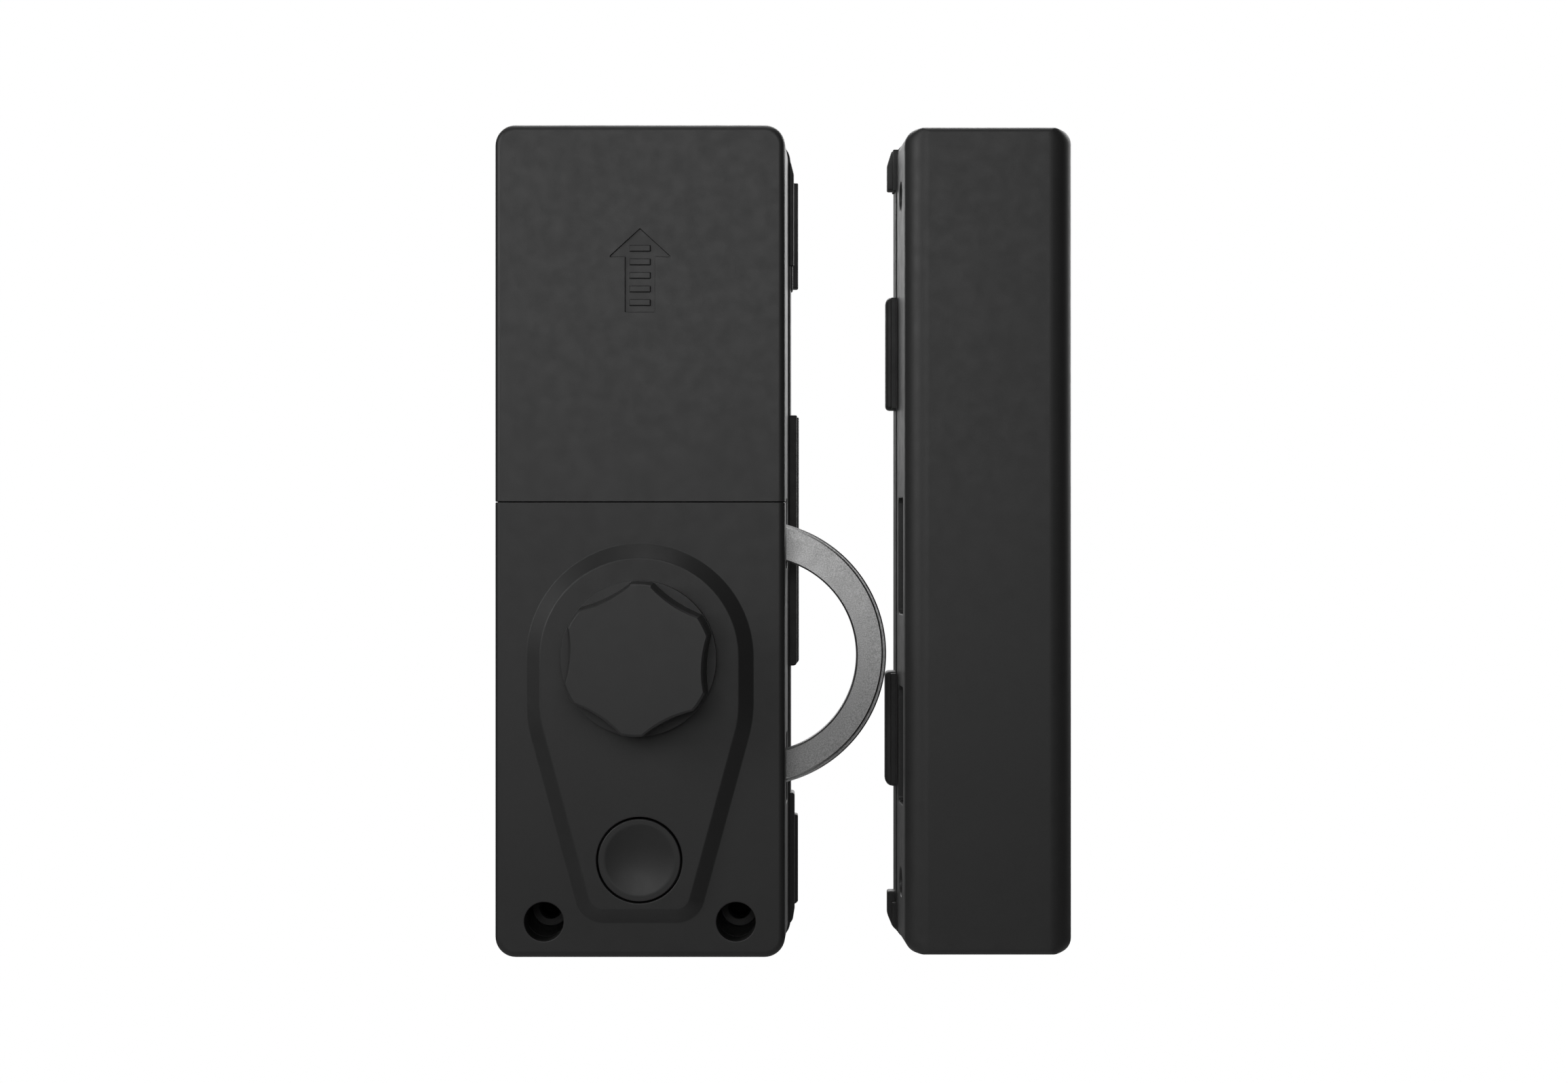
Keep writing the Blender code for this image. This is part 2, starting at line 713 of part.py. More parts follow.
def build_door_gasket():
    """A foam pad. It covers the fixing holes, and a fixing screw pierces it."""
    screw_clear_r = 2.3
    inward = 0.6  # keeps each screw's hole clear of the pad's edge
    loops = [pad_outline(0, HALF_WIDTH - 0.95)]
    for side in (-1, 1):
        for z in BASE_SCREW_Z:
            loops.append(circle(side * (BASE_SCREW_X - inward), z, screw_clear_r, SMALL))
    add_node("door_gasket", faced(loops, GASKET_FRONT_Y, 0.0), RUBBER)


def add_screw(name, x, z, head, shank, steps=SMALL):
    """A screw seen from its head's side. head and shank are (radius, front y, back y), front first."""
    sections = sorted([head, shank], key=lambda section: section[1])
    add_node(name, stepped(x, z, sections, steps), STEEL)


def add_rear_screws(prefix, places, tip_y):
    """Pan head screws put in from the rear, through a base into its frame."""
    head = (2.6, BASE_SEAT_Y + GAP, -2.0)
    shank = (1.1, tip_y, BASE_SEAT_Y + GAP)
    for i, (x, z) in enumerate(places, 1):
        add_screw(f"{prefix}_{i}", x, z, head, shank)


def build_base_screws():
    add_rear_screws("base_screw", base_screw_places(), FRAME_SCREW_TIP_Y)


# ---- Mechanism ----
def build_mechanism_plates():
    bottom = -65.9
    top = 17.0
    half = 30.0
    tongue = 12.5  # half width of the part that carries the button's board
    tongue_z = -79.0
    rear_left = -12.0
    outline = [
        (half, top),
        (-half, top),
        (-half, bottom),
        (-tongue, bottom),
        (-tongue, tongue_z),
        (tongue, tongue_z),
        (tongue, bottom),
        (half, bottom),
    ]
    screw_holes = [circle(x, z, POST_HOLE_R + SEAT, SMALL) for x, z in POSTS]
    drive_hole = circle(*DRIVE_AXIS, DRIVE_SHAFT_R + RUNNING)
    front_holes = [
        circle(*KNOB_AXIS, KNOB_PIVOT_R + RUNNING),
        circle(*IDLER_AXIS, IDLER_PIN_R + SEAT, SMALL),
        drive_hole,
        circle(*MOTOR_AXIS, MOTOR_SHAFT_R + 0.7, SMALL),
        *screw_holes,
    ]
    add_node("mechanism_front_plate", faced([outline, *front_holes], *PLATE_FRONT), ZINC)
    rear = box_outline(rear_left, half - SEAT, bottom, top)
    add_node("mechanism_rear_plate", faced([rear, drive_hole, *screw_holes], *PLATE_REAR), ZINC)


def build_ring_guide():
    """The hub that the ring runs round, flat where the body's wall is."""
    flat_x = 30.2
    corner = math.degrees(math.acos((flat_x - RING_X) / GUIDE_R))
    outline = arc(RING_X, RING_Z, GUIDE_R, corner, 360 - corner, FINE)
    add_node("ring_guide", faced([outline], PLATE_FRONT[1] + GAP, PLATE_REAR[0] - GAP), NYLON)


def build_plate_fixings():
    for i, (x, z) in enumerate(POSTS, 1):
        spacer = sleeve(x, z, 3.0, POST_HOLE_R, PLATE_FRONT[1] + GAP, PLATE_REAR[0] - GAP, SMALL)
        add_node(f"plate_spacer_{i}", spacer, ZINC)
        head = (2.7, PLATE_HEAD_Y - 1.7, PLATE_HEAD_Y)
        add_screw(f"plate_screw_{i}", x, z, head, (1.3, PLATE_HEAD_Y, POST_HOLE_END_Y - 1))


def ring_plate_outline(outer):
    return arc(*outer, RING_START, RING_END, FINE) + arc(*RING_INNER, RING_END, RING_START, FINE)


def ring_teeth_outline():
    """The toothed rear layer of the ring, which the rim layer in front of it hides."""
    inset = 0.4
    start = math.radians(RING_START + inset)
    end = math.radians(RING_END - inset)
    pitch = 2 * math.pi / RING_TEETH
    root_r = MODULE * RING_TEETH / 2 - DEDENDUM
    first = math.ceil((start - RING_PHASE) / pitch + 0.5)
    last = math.floor((end - RING_PHASE) / pitch - 0.5)
    points = arc(RING_X, RING_Z, root_r, RING_START + inset, RING_START + inset, 1)[:1]
    for k in range(first, last + 1):
        points += tooth_points(RING_X, RING_Z, RING_TEETH, RING_PHASE + pitch * k)
    points += arc(RING_X, RING_Z, root_r, RING_END - inset, RING_END - inset, 1)[:1]
    return points + arc(RING_X, RING_Z, RING_FLANGE_INNER_R, RING_END - inset, RING_START + inset, FINE)


def build_ring_bolt():
    overlap = 0.05
    plate = faced([ring_plate_outline(RING_OUTER)], RING_FRONT_Y, RING_RIM_Y + overlap)
    ring = add_node("ring_bolt", plate, STEEL, RING_AXIS)
    combine(ring, faced([ring_plate_outline(RING_RIM)], RING_RIM_Y, RING_STEP_Y + overlap), "UNION")
    combine(ring, faced([ring_teeth_outline()], RING_STEP_Y, RING_BACK_Y), "UNION")


def gear_mesh(axis, teeth, phase, bore_r, front_y, back_y):
    loops = [gear_outline(*axis, teeth, phase), circle(*axis, bore_r)]
    return faced(loops, front_y, back_y)


def build_drive_train():
    shaft_end_y = -10.5
    bore_r = DRIVE_SHAFT_R + SEAT
    shaft = stepped(*DRIVE_AXIS, [(DRIVE_SHAFT_R, GEAR_FRONT_Y, shaft_end_y)])
    add_node("drive_shaft", shaft, STEEL, DRIVE_AXIS)
    front = gear_mesh(DRIVE_AXIS, PINION_TEETH, DRIVE_PHASE, bore_r, GEAR_FRONT_Y, GEAR_BACK_Y)
    add_node("drive_gear", front, BRASS, DRIVE_AXIS)
    rear = gear_mesh(DRIVE_AXIS, PINION_TEETH, DRIVE_PHASE, bore_r, PINION_FRONT_Y, PINION_BACK_Y)
    add_node("drive_pinion", rear, BRASS, DRIVE_AXIS)
    idler_bore_r = IDLER_PIN_R + RUNNING
    idler = gear_mesh(IDLER_AXIS, IDLER_TEETH, IDLER_PHASE, idler_bore_r, GEAR_FRONT_Y, GEAR_BACK_Y)
    add_node("idler_gear", idler, NYLON, IDLER_AXIS)
    pin = stepped(*IDLER_AXIS, [(IDLER_PIN_R, GEAR_FRONT_Y, PLATE_FRONT[1])])
    add_node("idler_pin", pin, STEEL)


def build_motor():
    motor_r = 7.5
    back_y = -9.9
    front_y = PLATE_FRONT[1] + GAP
    bore_end_y = -18.0
    motor = add_node("gear_motor", stepped(*MOTOR_AXIS, [(motor_r, front_y, back_y)]), ZINC)
    drill(motor, *MOTOR_AXIS, [(MOTOR_SHAFT_R + SEAT, front_y - 1, bore_end_y)])
    outline = gear_outline(*MOTOR_AXIS, MOTOR_TEETH, MOTOR_PHASE)
    pinion = add_node("motor_pinion", faced([outline], GEAR_FRONT_Y, GEAR_BACK_Y), BRASS, MOTOR_AXIS)
    shaft = stepped(*MOTOR_AXIS, [(MOTOR_SHAFT_R, GEAR_FRONT_Y + 1, bore_end_y - GAP)])
    combine(pinion, shaft, "UNION")


# ---- Knob and button ----
def scallop_outline(radius, steps=7):
    points = []
    pitch = 360 / LOBES
    valley = pitch - 2 * LOBE_HALF_ANGLE
    for lobe in range(LOBES):
        start = KNOB_TURN + pitch * lobe + LOBE_HALF_ANGLE
        for i in range(steps + 1):
            angle = math.radians(start + valley * i / steps)
            r = radius - SCALLOP_DEPTH * math.sin(math.pi * i / steps)
            points.append((r * math.cos(angle), KNOB_Z + r * math.sin(angle)))
    return points


def knob_grip_mesh():
    """The lobed grip, which narrows towards its front."""
    grip = faced([scallop_outline(GRIP_R)], KNOB_FRONT_Y, KNOB_SKIRT_Y + 0.5)
    for vertex in grip.vertices:
        if vertex.co.y < KNOB_SKIRT_Y * MM:
            vertex.co.x *= GRIP_FRONT_R / GRIP_R
            vertex.co.z = (KNOB_Z + (vertex.co.z / MM - KNOB_Z) * GRIP_FRONT_R / GRIP_R) * MM
    soften_front(grip, KNOB_FRONT_Y, 0.45, 1)
    return grip


def build_knob():
    skirt = stepped(*KNOB_AXIS, [(KNOB_R, KNOB_SKIRT_Y, KNOB_BACK_Y)], FINE)
    knob = add_node("knob_cap", skirt, BLACK, KNOB_AXIS)
    combine(knob, knob_grip_mesh(), "UNION")
    bore_y = -44.0
    drill(knob, *KNOB_AXIS, [(SHAFT_R + SEAT, bore_y, KNOB_BACK_Y + 1)])
    seat_r = 5.0
    clip_y = (-32.2, -31.6)
    groove_r = 5.0
    sections = [
        (SHAFT_R, bore_y + GAP, clip_y[0] - 0.2),
        (groove_r, clip_y[0] - 0.2, clip_y[1] + 0.2),
        (SHAFT_R, clip_y[1] + 0.2, GEAR_FRONT_Y - GAP),
        (seat_r, GEAR_FRONT_Y - GAP, GEAR_BACK_Y),
        (KNOB_PIVOT_R, GEAR_BACK_Y, PLATE_FRONT[1]),
    ]
    add_node("knob_shaft", stepped(*KNOB_AXIS, sections), STEEL, KNOB_AXIS)
    gear = gear_mesh(KNOB_AXIS, KNOB_TEETH, KNOB_PHASE, seat_r + SEAT, GEAR_FRONT_Y, GEAR_BACK_Y)
    add_node("knob_gear", gear, NYLON, KNOB_AXIS)
    clip_outer = arc(*KNOB_AXIS, 8.0, -150, 150, ROUND)
    clip_inner = arc(*KNOB_AXIS, groove_r + 0.2, 150, -150, ROUND)
    add_node("knob_clip", faced([clip_outer + clip_inner], *clip_y), SPRING, KNOB_AXIS)


def build_button():
    front_y = BOSS_FRONT_Y - 0.1
    dish_r = 8.1
    dish_depth = 1.3
    dish = []
    dish_steps = 4
    for i in range(dish_steps + 1):
        share = i / dish_steps
        dish.append((dish_r * share, front_y + dish_depth * (1 - share**2)))
    flange_r = 10.7
    stem_r = 2.5
    flange = (-32.4, -31.2)
    stem_y = -30.5
    profile = [
        *dish,
        (BUTTON_R, front_y),
        (BUTTON_R, flange[0]),
        (flange_r, flange[0]),
        (flange_r, flange[1]),
        (stem_r, flange[1]),
        (stem_r, stem_y),
        (0.0, stem_y),
    ]
    add_node("push_button", turned(0, BUTTON_Z, profile, FINE), BLACK, (0, BUTTON_Z))
    board_y = (-25.2, -23.9)
    add_node("button_board", box(-11, 11, *board_y, -78, -65), BOARD)
    switch = add_node("tact_switch", box(-3, 3, -28.6, board_y[0] - GAP, BUTTON_Z - 3, BUTTON_Z + 3), DARK)
    combine(switch, stepped(0, BUTTON_Z, [(1.7, -29.6, -27.0)], SMALL), "UNION")


# ---- Batteries ----
def cell_bottom(turned_over):
    """Every second cell is upside down, with its spring at the top of the bay."""
    if turned_over:
        return TRAY_Z[1] - TRAY_WALL - CELL_SPRING_SPACE - CELL_LENGTH
    return TRAY_Z[0] + TRAY_WALL + CELL_SPRING_SPACE


def cell_mesh(x, turned_over):
    nub_r = 2.7
    nub = 1.2
    shoulder = 0.6
    top = CELL_LENGTH
    profile = [
        (0.0, top),
        (nub_r, top),
        (nub_r, top - nub),
        (CELL_R - shoulder, top - nub),
        (CELL_R, top - nub - shoulder),
        (CELL_R, shoulder),
        (CELL_R - shoulder, 0.0),
        (0.0, 0.0),
    ]
    mesh = turned_mesh(profile, ROUND)
    if turned_over:
        mesh.transform(Matrix.Translation((0, 0, CELL_LENGTH * MM)) @ Matrix.Rotation(math.pi, 4, "X"))
    mesh.transform(Matrix.Translation(Vector((x, CELL_Y, cell_bottom(turned_over))) * MM))
    return mesh


def spring_mesh(x, low, high):
    """A conical contact spring on its side of the battery bay."""
    wire_r = 0.35
    turns = 2.5
    steps_per_turn = 10
    wide_r = 4.4
    narrow_r = 2.6
    curve = bpy.data.curves.new("spring", "CURVE")
    curve.dimensions = "3D"
    curve.bevel_depth = wire_r * MM
    curve.bevel_resolution = 2
    curve.use_fill_caps = True
    spline = curve.splines.new("POLY")
    count = int(turns * steps_per_turn)
    spline.points.add(count)
    for i, point in enumerate(spline.points):
        share = i / count
        angle = 2 * math.pi * turns * share
        r = wide_r + (narrow_r - wide_r) * share
        z = low + (high - low) * share
        place = (x + r * math.cos(angle), CELL_Y + r * math.sin(angle), z)
        point.co = (*(Vector(place) * MM), 1.0)
    holder = bpy.data.objects.new("spring", curve)
    bpy.context.scene.collection.objects.link(holder)
    bpy.context.view_layer.update()
    graph = bpy.context.evaluated_depsgraph_get()
    mesh = bpy.data.meshes.new_from_object(holder.evaluated_get(graph))
    bpy.data.objects.remove(holder)
    edit(mesh, lambda bm: bmesh.ops.remove_doubles(bm, verts=bm.verts, dist=1e-6))
    return mesh


def build_batteries():
    tray = add_node("battery_tray", box(-TRAY_HALF, TRAY_HALF, TRAY_FRONT_Y, TRAY_BACK_Y, *TRAY_Z), DARK)
    inner = TRAY_HALF - 0.95
    low = TRAY_Z[0] + TRAY_WALL
    high = TRAY_Z[1] - TRAY_WALL
    floor = 1.6
    combine(tray, box(-inner, inner, TRAY_FRONT_Y - 1, TRAY_BACK_Y - floor, low, high))
    sheet = 0.5
    lower_sheet = (low + GAP, low + GAP + sheet)
    upper_sheet = (high - GAP - sheet, high - GAP)
    clear = 0.7
    for i in range(4):
        x = CELL_PITCH * (i - 1.5)
        turned_over = i % 2 == 1
        add_node(f"battery_{i + 1}", cell_mesh(x, turned_over), CELL)
        if turned_over:
            wide_end = upper_sheet[0] - clear
            narrow_end = cell_bottom(True) + CELL_LENGTH + clear
        else:
            wide_end = lower_sheet[1] + clear
            narrow_end = cell_bottom(False) - clear
        add_node(f"contact_spring_{i + 1}", spring_mesh(x, wide_end, narrow_end), SPRING)
    contact_y = (CELL_Y - 4.5, CELL_Y + 4.5)
    reach = 12.5
    for name, side in (("contact_link_left", -1), ("contact_link_right", 1)):
        centre = side * CELL_PITCH
        add_node(name, box(centre - reach, centre + reach, *contact_y, *upper_sheet), SPRING)
    add_node("contact_link_lower", box(-reach, reach, *contact_y, *lower_sheet), SPRING)


def build_gear_shield():
    """The thin sheet between the battery bay and the gears, seen with the cover slid up."""
    half = BASE_SCREW_X - 2.6
    add_node("gear_shield", box(-half, half, FRAME_FRONT_Y, FRAME_FRONT_Y + 0.5, 5.0, 28.4), ZINC)


# ---- Electronics behind the mechanism ----
def build_electronics():
    """The board, as x, y and z spans, and what stands on its front."""
    board = ((-26, 26), (-8.5, -7.1), (-56, 9.5))
    add_node("main_board", box(*board[0], *board[1], *board[2]), BOARD)
    seat_y = board[1][0] - GAP
    parts = {
        "board_connector": ((-24, -16), -12.3, (-25, -13), NYLON),
        "door_sensor": ((20, 24), -11.4, (-6, -1), DARK),
        "controller_chip": ((0, 10), -10.4, (-25, -15), DARK),
    }
    for name, (x_span, front_y, z_span, material) in parts.items():
        add_node(name, box(*x_span, front_y, seat_y, *z_span), material)
    buzzer_r = 5.0
    sound_hole_r = 0.9
    add_node("buzzer", sleeve(-20, 0, buzzer_r, sound_hole_r, -12.0, seat_y), DARK)


# ---- Strike box ----
def strike_outline(extra=0.0):
    half = STRIKE_HALF + extra
    height = STRIKE_HALF_HEIGHT
    return box_outline(STRIKE_X - half, STRIKE_X + half, -height, height, STRIKE_CORNER_R, 4)


def build_strike_cover():
    """Its two tall front edges have a large radius, made by crossing two outlines."""
    mesh = faced([strike_outline()], STRIKE_FRONT_Y, COVER_BACK_Y)
    cover = add_node("strike_cover", strike_taper(mesh), BLACK)
    wide = STRIKE_HALF + 1.5
    profile = rounded(
        [
            (STRIKE_X + STRIKE_HALF, STRIKE_FRONT_Y, STRIKE_EDGE_R),
            (STRIKE_X + wide, 0.0, 0),
            (STRIKE_X - wide, 0.0, 0),
            (STRIKE_X - STRIKE_HALF, STRIKE_FRONT_Y, STRIKE_EDGE_R),
        ],
        4,
    )
    section = outline_mesh("section", [profile], -STRIKE_HALF_HEIGHT - 1, STRIKE_HALF_HEIGHT + 1)
    edit(section, weld)
    combine(cover, section, "INTERSECT")
    inner = STRIKE_HALF - WALL
    inner_z = STRIKE_HALF_HEIGHT - WALL
    hollow = box_outline(STRIKE_X - inner, STRIKE_X + inner, -inner_z, inner_z, 1.4, 3)
    add_cavity(cover, hollow, STRIKE_FRONT_Y + 2.6, COVER_BACK_Y + 1, strike_taper)


def strike_hollow():
    notches = [(low, high, STRIKE_HALF - 6.0) for low, high in STRIKE_GUSSETS]
    inner_z = STRIKE_HALF_HEIGHT - WALL
    return notched_outline(STRIKE_X, STRIKE_HALF - WALL, -inner_z, inner_z, notches)


def strike_screw_places():
    """Two screws, on opposite corners of the box."""
    offset = STRIKE_HALF - 3.2
    upper, lower = [sum(gusset) / 2 for gusset in STRIKE_GUSSETS]
    return [(STRIKE_X + offset, upper), (STRIKE_X - offset, lower)]


def build_strike_frame():
    mesh = strike_taper(faced([strike_outline()], FRAME_FRONT_Y, STRIKE_FRAME_BACK_Y))
    frame = add_node("strike_frame", mesh, FRAME)
    add_cavity(frame, strike_hollow(), FRAME_FRONT_Y - 1, STRIKE_FRAME_BACK_Y + 1, strike_taper)
    left = STRIKE_X - STRIKE_HALF
    for low, high in STRIKE_SLOTS:
        combine(frame, box(left - 3, left + 3, *STRIKE_SLOT_Y, low, high))
    for z in STRIKE_HOLES:
        hole = turned_mesh([(0.0, 3.0), (STRIKE_HOLE_R, 3.0), (STRIKE_HOLE_R, -3.0), (0.0, -3.0)], ROUND)
        hole_y = sum(STRIKE_SLOT_Y) / 2
        place = Matrix.Translation(Vector((left, hole_y, z)) * MM)
        hole.transform(place @ Matrix.Rotation(math.pi / 2, 4, "Y"))
        combine(frame, hole)
    for x, z in strike_screw_places():
        drill(frame, x, z, [(SCREW_HOLE_R, STRIKE_SCREW_TIP_Y - 1, STRIKE_FRAME_BACK_Y + 1)], SMALL)


def build_strike_base():
    mesh = strike_taper(faced([strike_outline(STRIKE_BASE_EXTRA)], STRIKE_BASE_FRONT_Y, BASE_BACK_Y))
    base = add_node("strike_base", mesh, DARK)
    add_cavity(base, strike_hollow(), STRIKE_BASE_FRONT_Y - 1, BASE_BACK_Y - BASE_FLOOR, strike_taper)
    edge = STRIKE_X - strike_side(STRIKE_BASE_FRONT_Y) - STRIKE_BASE_EXTRA
    join_tabs(base, STRIKE_TABS, -1, edge, STRIKE_TAB_REACH, STRIKE_BASE_FRONT_Y + 0.2, BASE_BACK_Y - 0.1)
    drill_base_screws(base, strike_screw_places(), STRIKE_BASE_FRONT_Y)


def build_strike_inside():
    inner_x = STRIKE_X - STRIKE_HALF + WALL
    plate_x = (inner_x + 0.1, inner_x + 1.9)
    keeper = add_node("strike_keeper", box(*plate_x, -26.0, -10.0, -62.5, 14.0), STEEL)
    for low, high in STRIKE_SLOTS:
        combine(keeper, box(plate_x[0] - 1, plate_x[1] + 1, *STRIKE_SLOT_Y, low, high))
    magnet = box(inner_x + 0.5, inner_x + 5.5, -14.0, -10.0, 40.0, 52.0)
    add_node("strike_magnet", magnet, ZINC)
    add_rear_screws("strike_screw", strike_screw_places(), STRIKE_SCREW_TIP_Y)
    pad = pad_outline(STRIKE_X, STRIKE_HALF - 1.1)
    add_node("strike_gasket", faced([pad], GASKET_FRONT_Y, 0.0), RUBBER)


build_battery_cover()
build_front_housing()
build_chassis_frame()
build_base_plate()
build_door_gasket()
build_base_screws()
build_mechanism_plates()
build_ring_guide()
build_plate_fixings()
build_ring_bolt()
build_drive_train()
build_motor()
build_knob()
build_button()
build_batteries()
build_gear_shield()
build_electronics()
build_strike_cover()
build_strike_frame()
build_strike_base()
build_strike_inside()
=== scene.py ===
"""The looks of the ring bolt smart lock and its strike box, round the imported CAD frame."""

import math

import bmesh
import bpy
from mathutils import Matrix, Vector
from mathutils.geometry import delaunay_2d_cdt


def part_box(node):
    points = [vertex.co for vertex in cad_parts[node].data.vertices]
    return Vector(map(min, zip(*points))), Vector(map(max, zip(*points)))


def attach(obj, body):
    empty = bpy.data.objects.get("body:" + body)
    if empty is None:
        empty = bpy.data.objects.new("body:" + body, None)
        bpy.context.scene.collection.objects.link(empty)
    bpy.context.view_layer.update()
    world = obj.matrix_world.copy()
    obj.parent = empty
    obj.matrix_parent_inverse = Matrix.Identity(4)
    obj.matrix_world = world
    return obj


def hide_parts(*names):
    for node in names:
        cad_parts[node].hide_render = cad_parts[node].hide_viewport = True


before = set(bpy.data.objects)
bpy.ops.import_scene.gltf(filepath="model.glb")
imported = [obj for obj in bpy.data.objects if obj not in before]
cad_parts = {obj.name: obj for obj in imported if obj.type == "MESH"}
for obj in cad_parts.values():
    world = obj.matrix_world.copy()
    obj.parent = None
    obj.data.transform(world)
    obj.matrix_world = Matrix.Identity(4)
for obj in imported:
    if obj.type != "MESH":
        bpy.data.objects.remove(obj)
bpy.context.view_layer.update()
MM = 0.001


def box_mm(node):
    low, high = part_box(node)
    return low / MM, high / MM


# ---- Sizes, in millimetres, from the frame where its boxes give them ----
COVER_LOW, COVER_HIGH = box_mm("battery_cover")
HOUSING_HIGH = box_mm("front_housing")[1]
CHASSIS_LOW, CHASSIS_HIGH = box_mm("chassis_frame")
BASE_HIGH = box_mm("base_plate")[1]
KNOB_LOW, KNOB_HIGH = box_mm("knob_cap")
BUTTON_LOW, BUTTON_HIGH = box_mm("push_button")
RING_LOW, RING_HIGH = box_mm("ring_bolt")
STRIKE_LOW, STRIKE_HIGH = box_mm("strike_cover")
STRIKE_FRAME_LOW, STRIKE_FRAME_HIGH = box_mm("strike_frame")
STRIKE_BASE_HIGH = box_mm("strike_base")[1]

FRONT_Y = COVER_LOW.y
LOCK_DRAFT = 0.028
HALF_WIDTH = COVER_HIGH.x - LOCK_DRAFT * (COVER_HIGH.y - FRONT_Y)
HALF_HEIGHT = COVER_HIGH.z
CORNER_R = 4.6
CORNER_STEPS = 10
WALL = 2.1
FRONT_WALL = 2.2
END_WALL = 2.4
SEAM_LAP = 0.08  # how far the cover and the housing reach towards each other over their seam
SEAM_SHARE = 0.05  # the share of an inset that the edges at the seam take
SEAM_CORNER = (0.2, 3)  # radius and steps
FRONT_EDGE_R = 1.5
LOCK_BACK_HALF = HALF_WIDTH + 0.55
LOCK_SHAPE = (0.0, HALF_WIDTH, LOCK_DRAFT, FRONT_Y)

STRIKE_X = (STRIKE_LOW.x + STRIKE_HIGH.x) / 2
STRIKE_DRAFT = 0.05
STRIKE_FRONT_Y = STRIKE_LOW.y
STRIKE_HALF = (STRIKE_HIGH.x - STRIKE_LOW.x) / 2 - STRIKE_DRAFT * (STRIKE_HIGH.y - STRIKE_FRONT_Y)
STRIKE_HALF_HEIGHT = STRIKE_HIGH.z
STRIKE_CORNER_R = 3.5
STRIKE_CORNER_STEPS = 8
STRIKE_BACK_HALF = STRIKE_HALF + 0.2
STRIKE_SHAPE = (STRIKE_X, STRIKE_HALF, STRIKE_DRAFT, STRIKE_FRONT_Y)


# ---- Paths and outlines ----
def corner_arc(before, here, after, radius, steps):
    """Points that round the corner at here, between the directions to before and after."""
    here = Vector(here)
    if radius <= 0 or steps == 0:
        return [tuple(here)]
    before = (Vector(before) - here).normalized()
    after = (Vector(after) - here).normalized()
    half = before.angle(after) / 2
    centre = here + (before + after).normalized() * radius / math.sin(half)
    first = here + before * radius / math.tan(half) - centre
    sweep = first.angle_signed(here + after * radius / math.tan(half) - centre)
    return [tuple(centre + Matrix.Rotation(-sweep * i / steps, 2) @ first) for i in range(steps + 1)]


def rounded_path(path, radii, steps=5):
    """An open path whose inner corners are rounded by these radii."""
    points = [path[0]]
    for i, radius in enumerate(radii, 1):
        points += corner_arc(path[i - 1], path[i], path[i + 1], radius, steps)
    return points + [path[-1]]


def outline(corners, inset=0.0, shares=None):
    """A closed outline through (x, z, radius, steps) corners listed anticlockwise, moved in by inset.
    shares scales the inset of the edge that starts at each corner."""
    count = len(corners)
    shares = shares or [1.0] * count
    spots = [Vector(corner[:2]) for corner in corners]
    moved = []
    in_line = 1e-6
    least_radius = 0.04
    for i in range(count):
        along = (spots[i] - spots[i - 1]).normalized(), (spots[(i + 1) % count] - spots[i]).normalized()
        one, two = (Vector((-d.y, d.x)) for d in along)
        far_one, far_two = inset * shares[i - 1], inset * shares[i]
        det = one.cross(two)
        if abs(det) < in_line:
            moved.append(spots[i] + one * far_one)
            continue
        shift = Vector((far_one * two.y - far_two * one.y, one.x * far_two - two.x * far_one))
        moved.append(spots[i] + shift / det)
    points = []
    for i, (_, _, radius, steps) in enumerate(corners):
        before, here, after = moved[i - 1], moved[i], moved[(i + 1) % count]
        convex = (here - before).cross(after - here) > 0
        local = inset * min(shares[i - 1], shares[i])
        radius = max(radius - local if convex else radius + local, least_radius)
        points += corner_arc(before, here, after, radius, steps)
    return points


def box_corners(x0, x1, z0, z1, radius, steps):
    return [(x, z, radius, steps) for x, z in ((x1, z1), (x0, z1), (x0, z0), (x1, z0))]


def circle(x, z, radius, steps=48):
    turn = 2 * math.pi / steps
    return [(x + radius * math.cos(turn * i), z + radius * math.sin(turn * i)) for i in range(steps)]


def at(points, y):
    """(x, z) points placed at a depth."""
    return [(x, y, z) for x, z in points]


# ---- Solids ----
def inside(spot, ring):
    """Whether a flat point is inside a closed ring of flat points."""
    crossed = False
    for one, two in zip(ring, ring[1:] + ring[:1]):
        if (one.y > spot.y) != (two.y > spot.y):
            if spot.x < one.x + (spot.y - one.y) * (two.x - one.x) / (two.y - one.y):
                crossed = not crossed
    return crossed


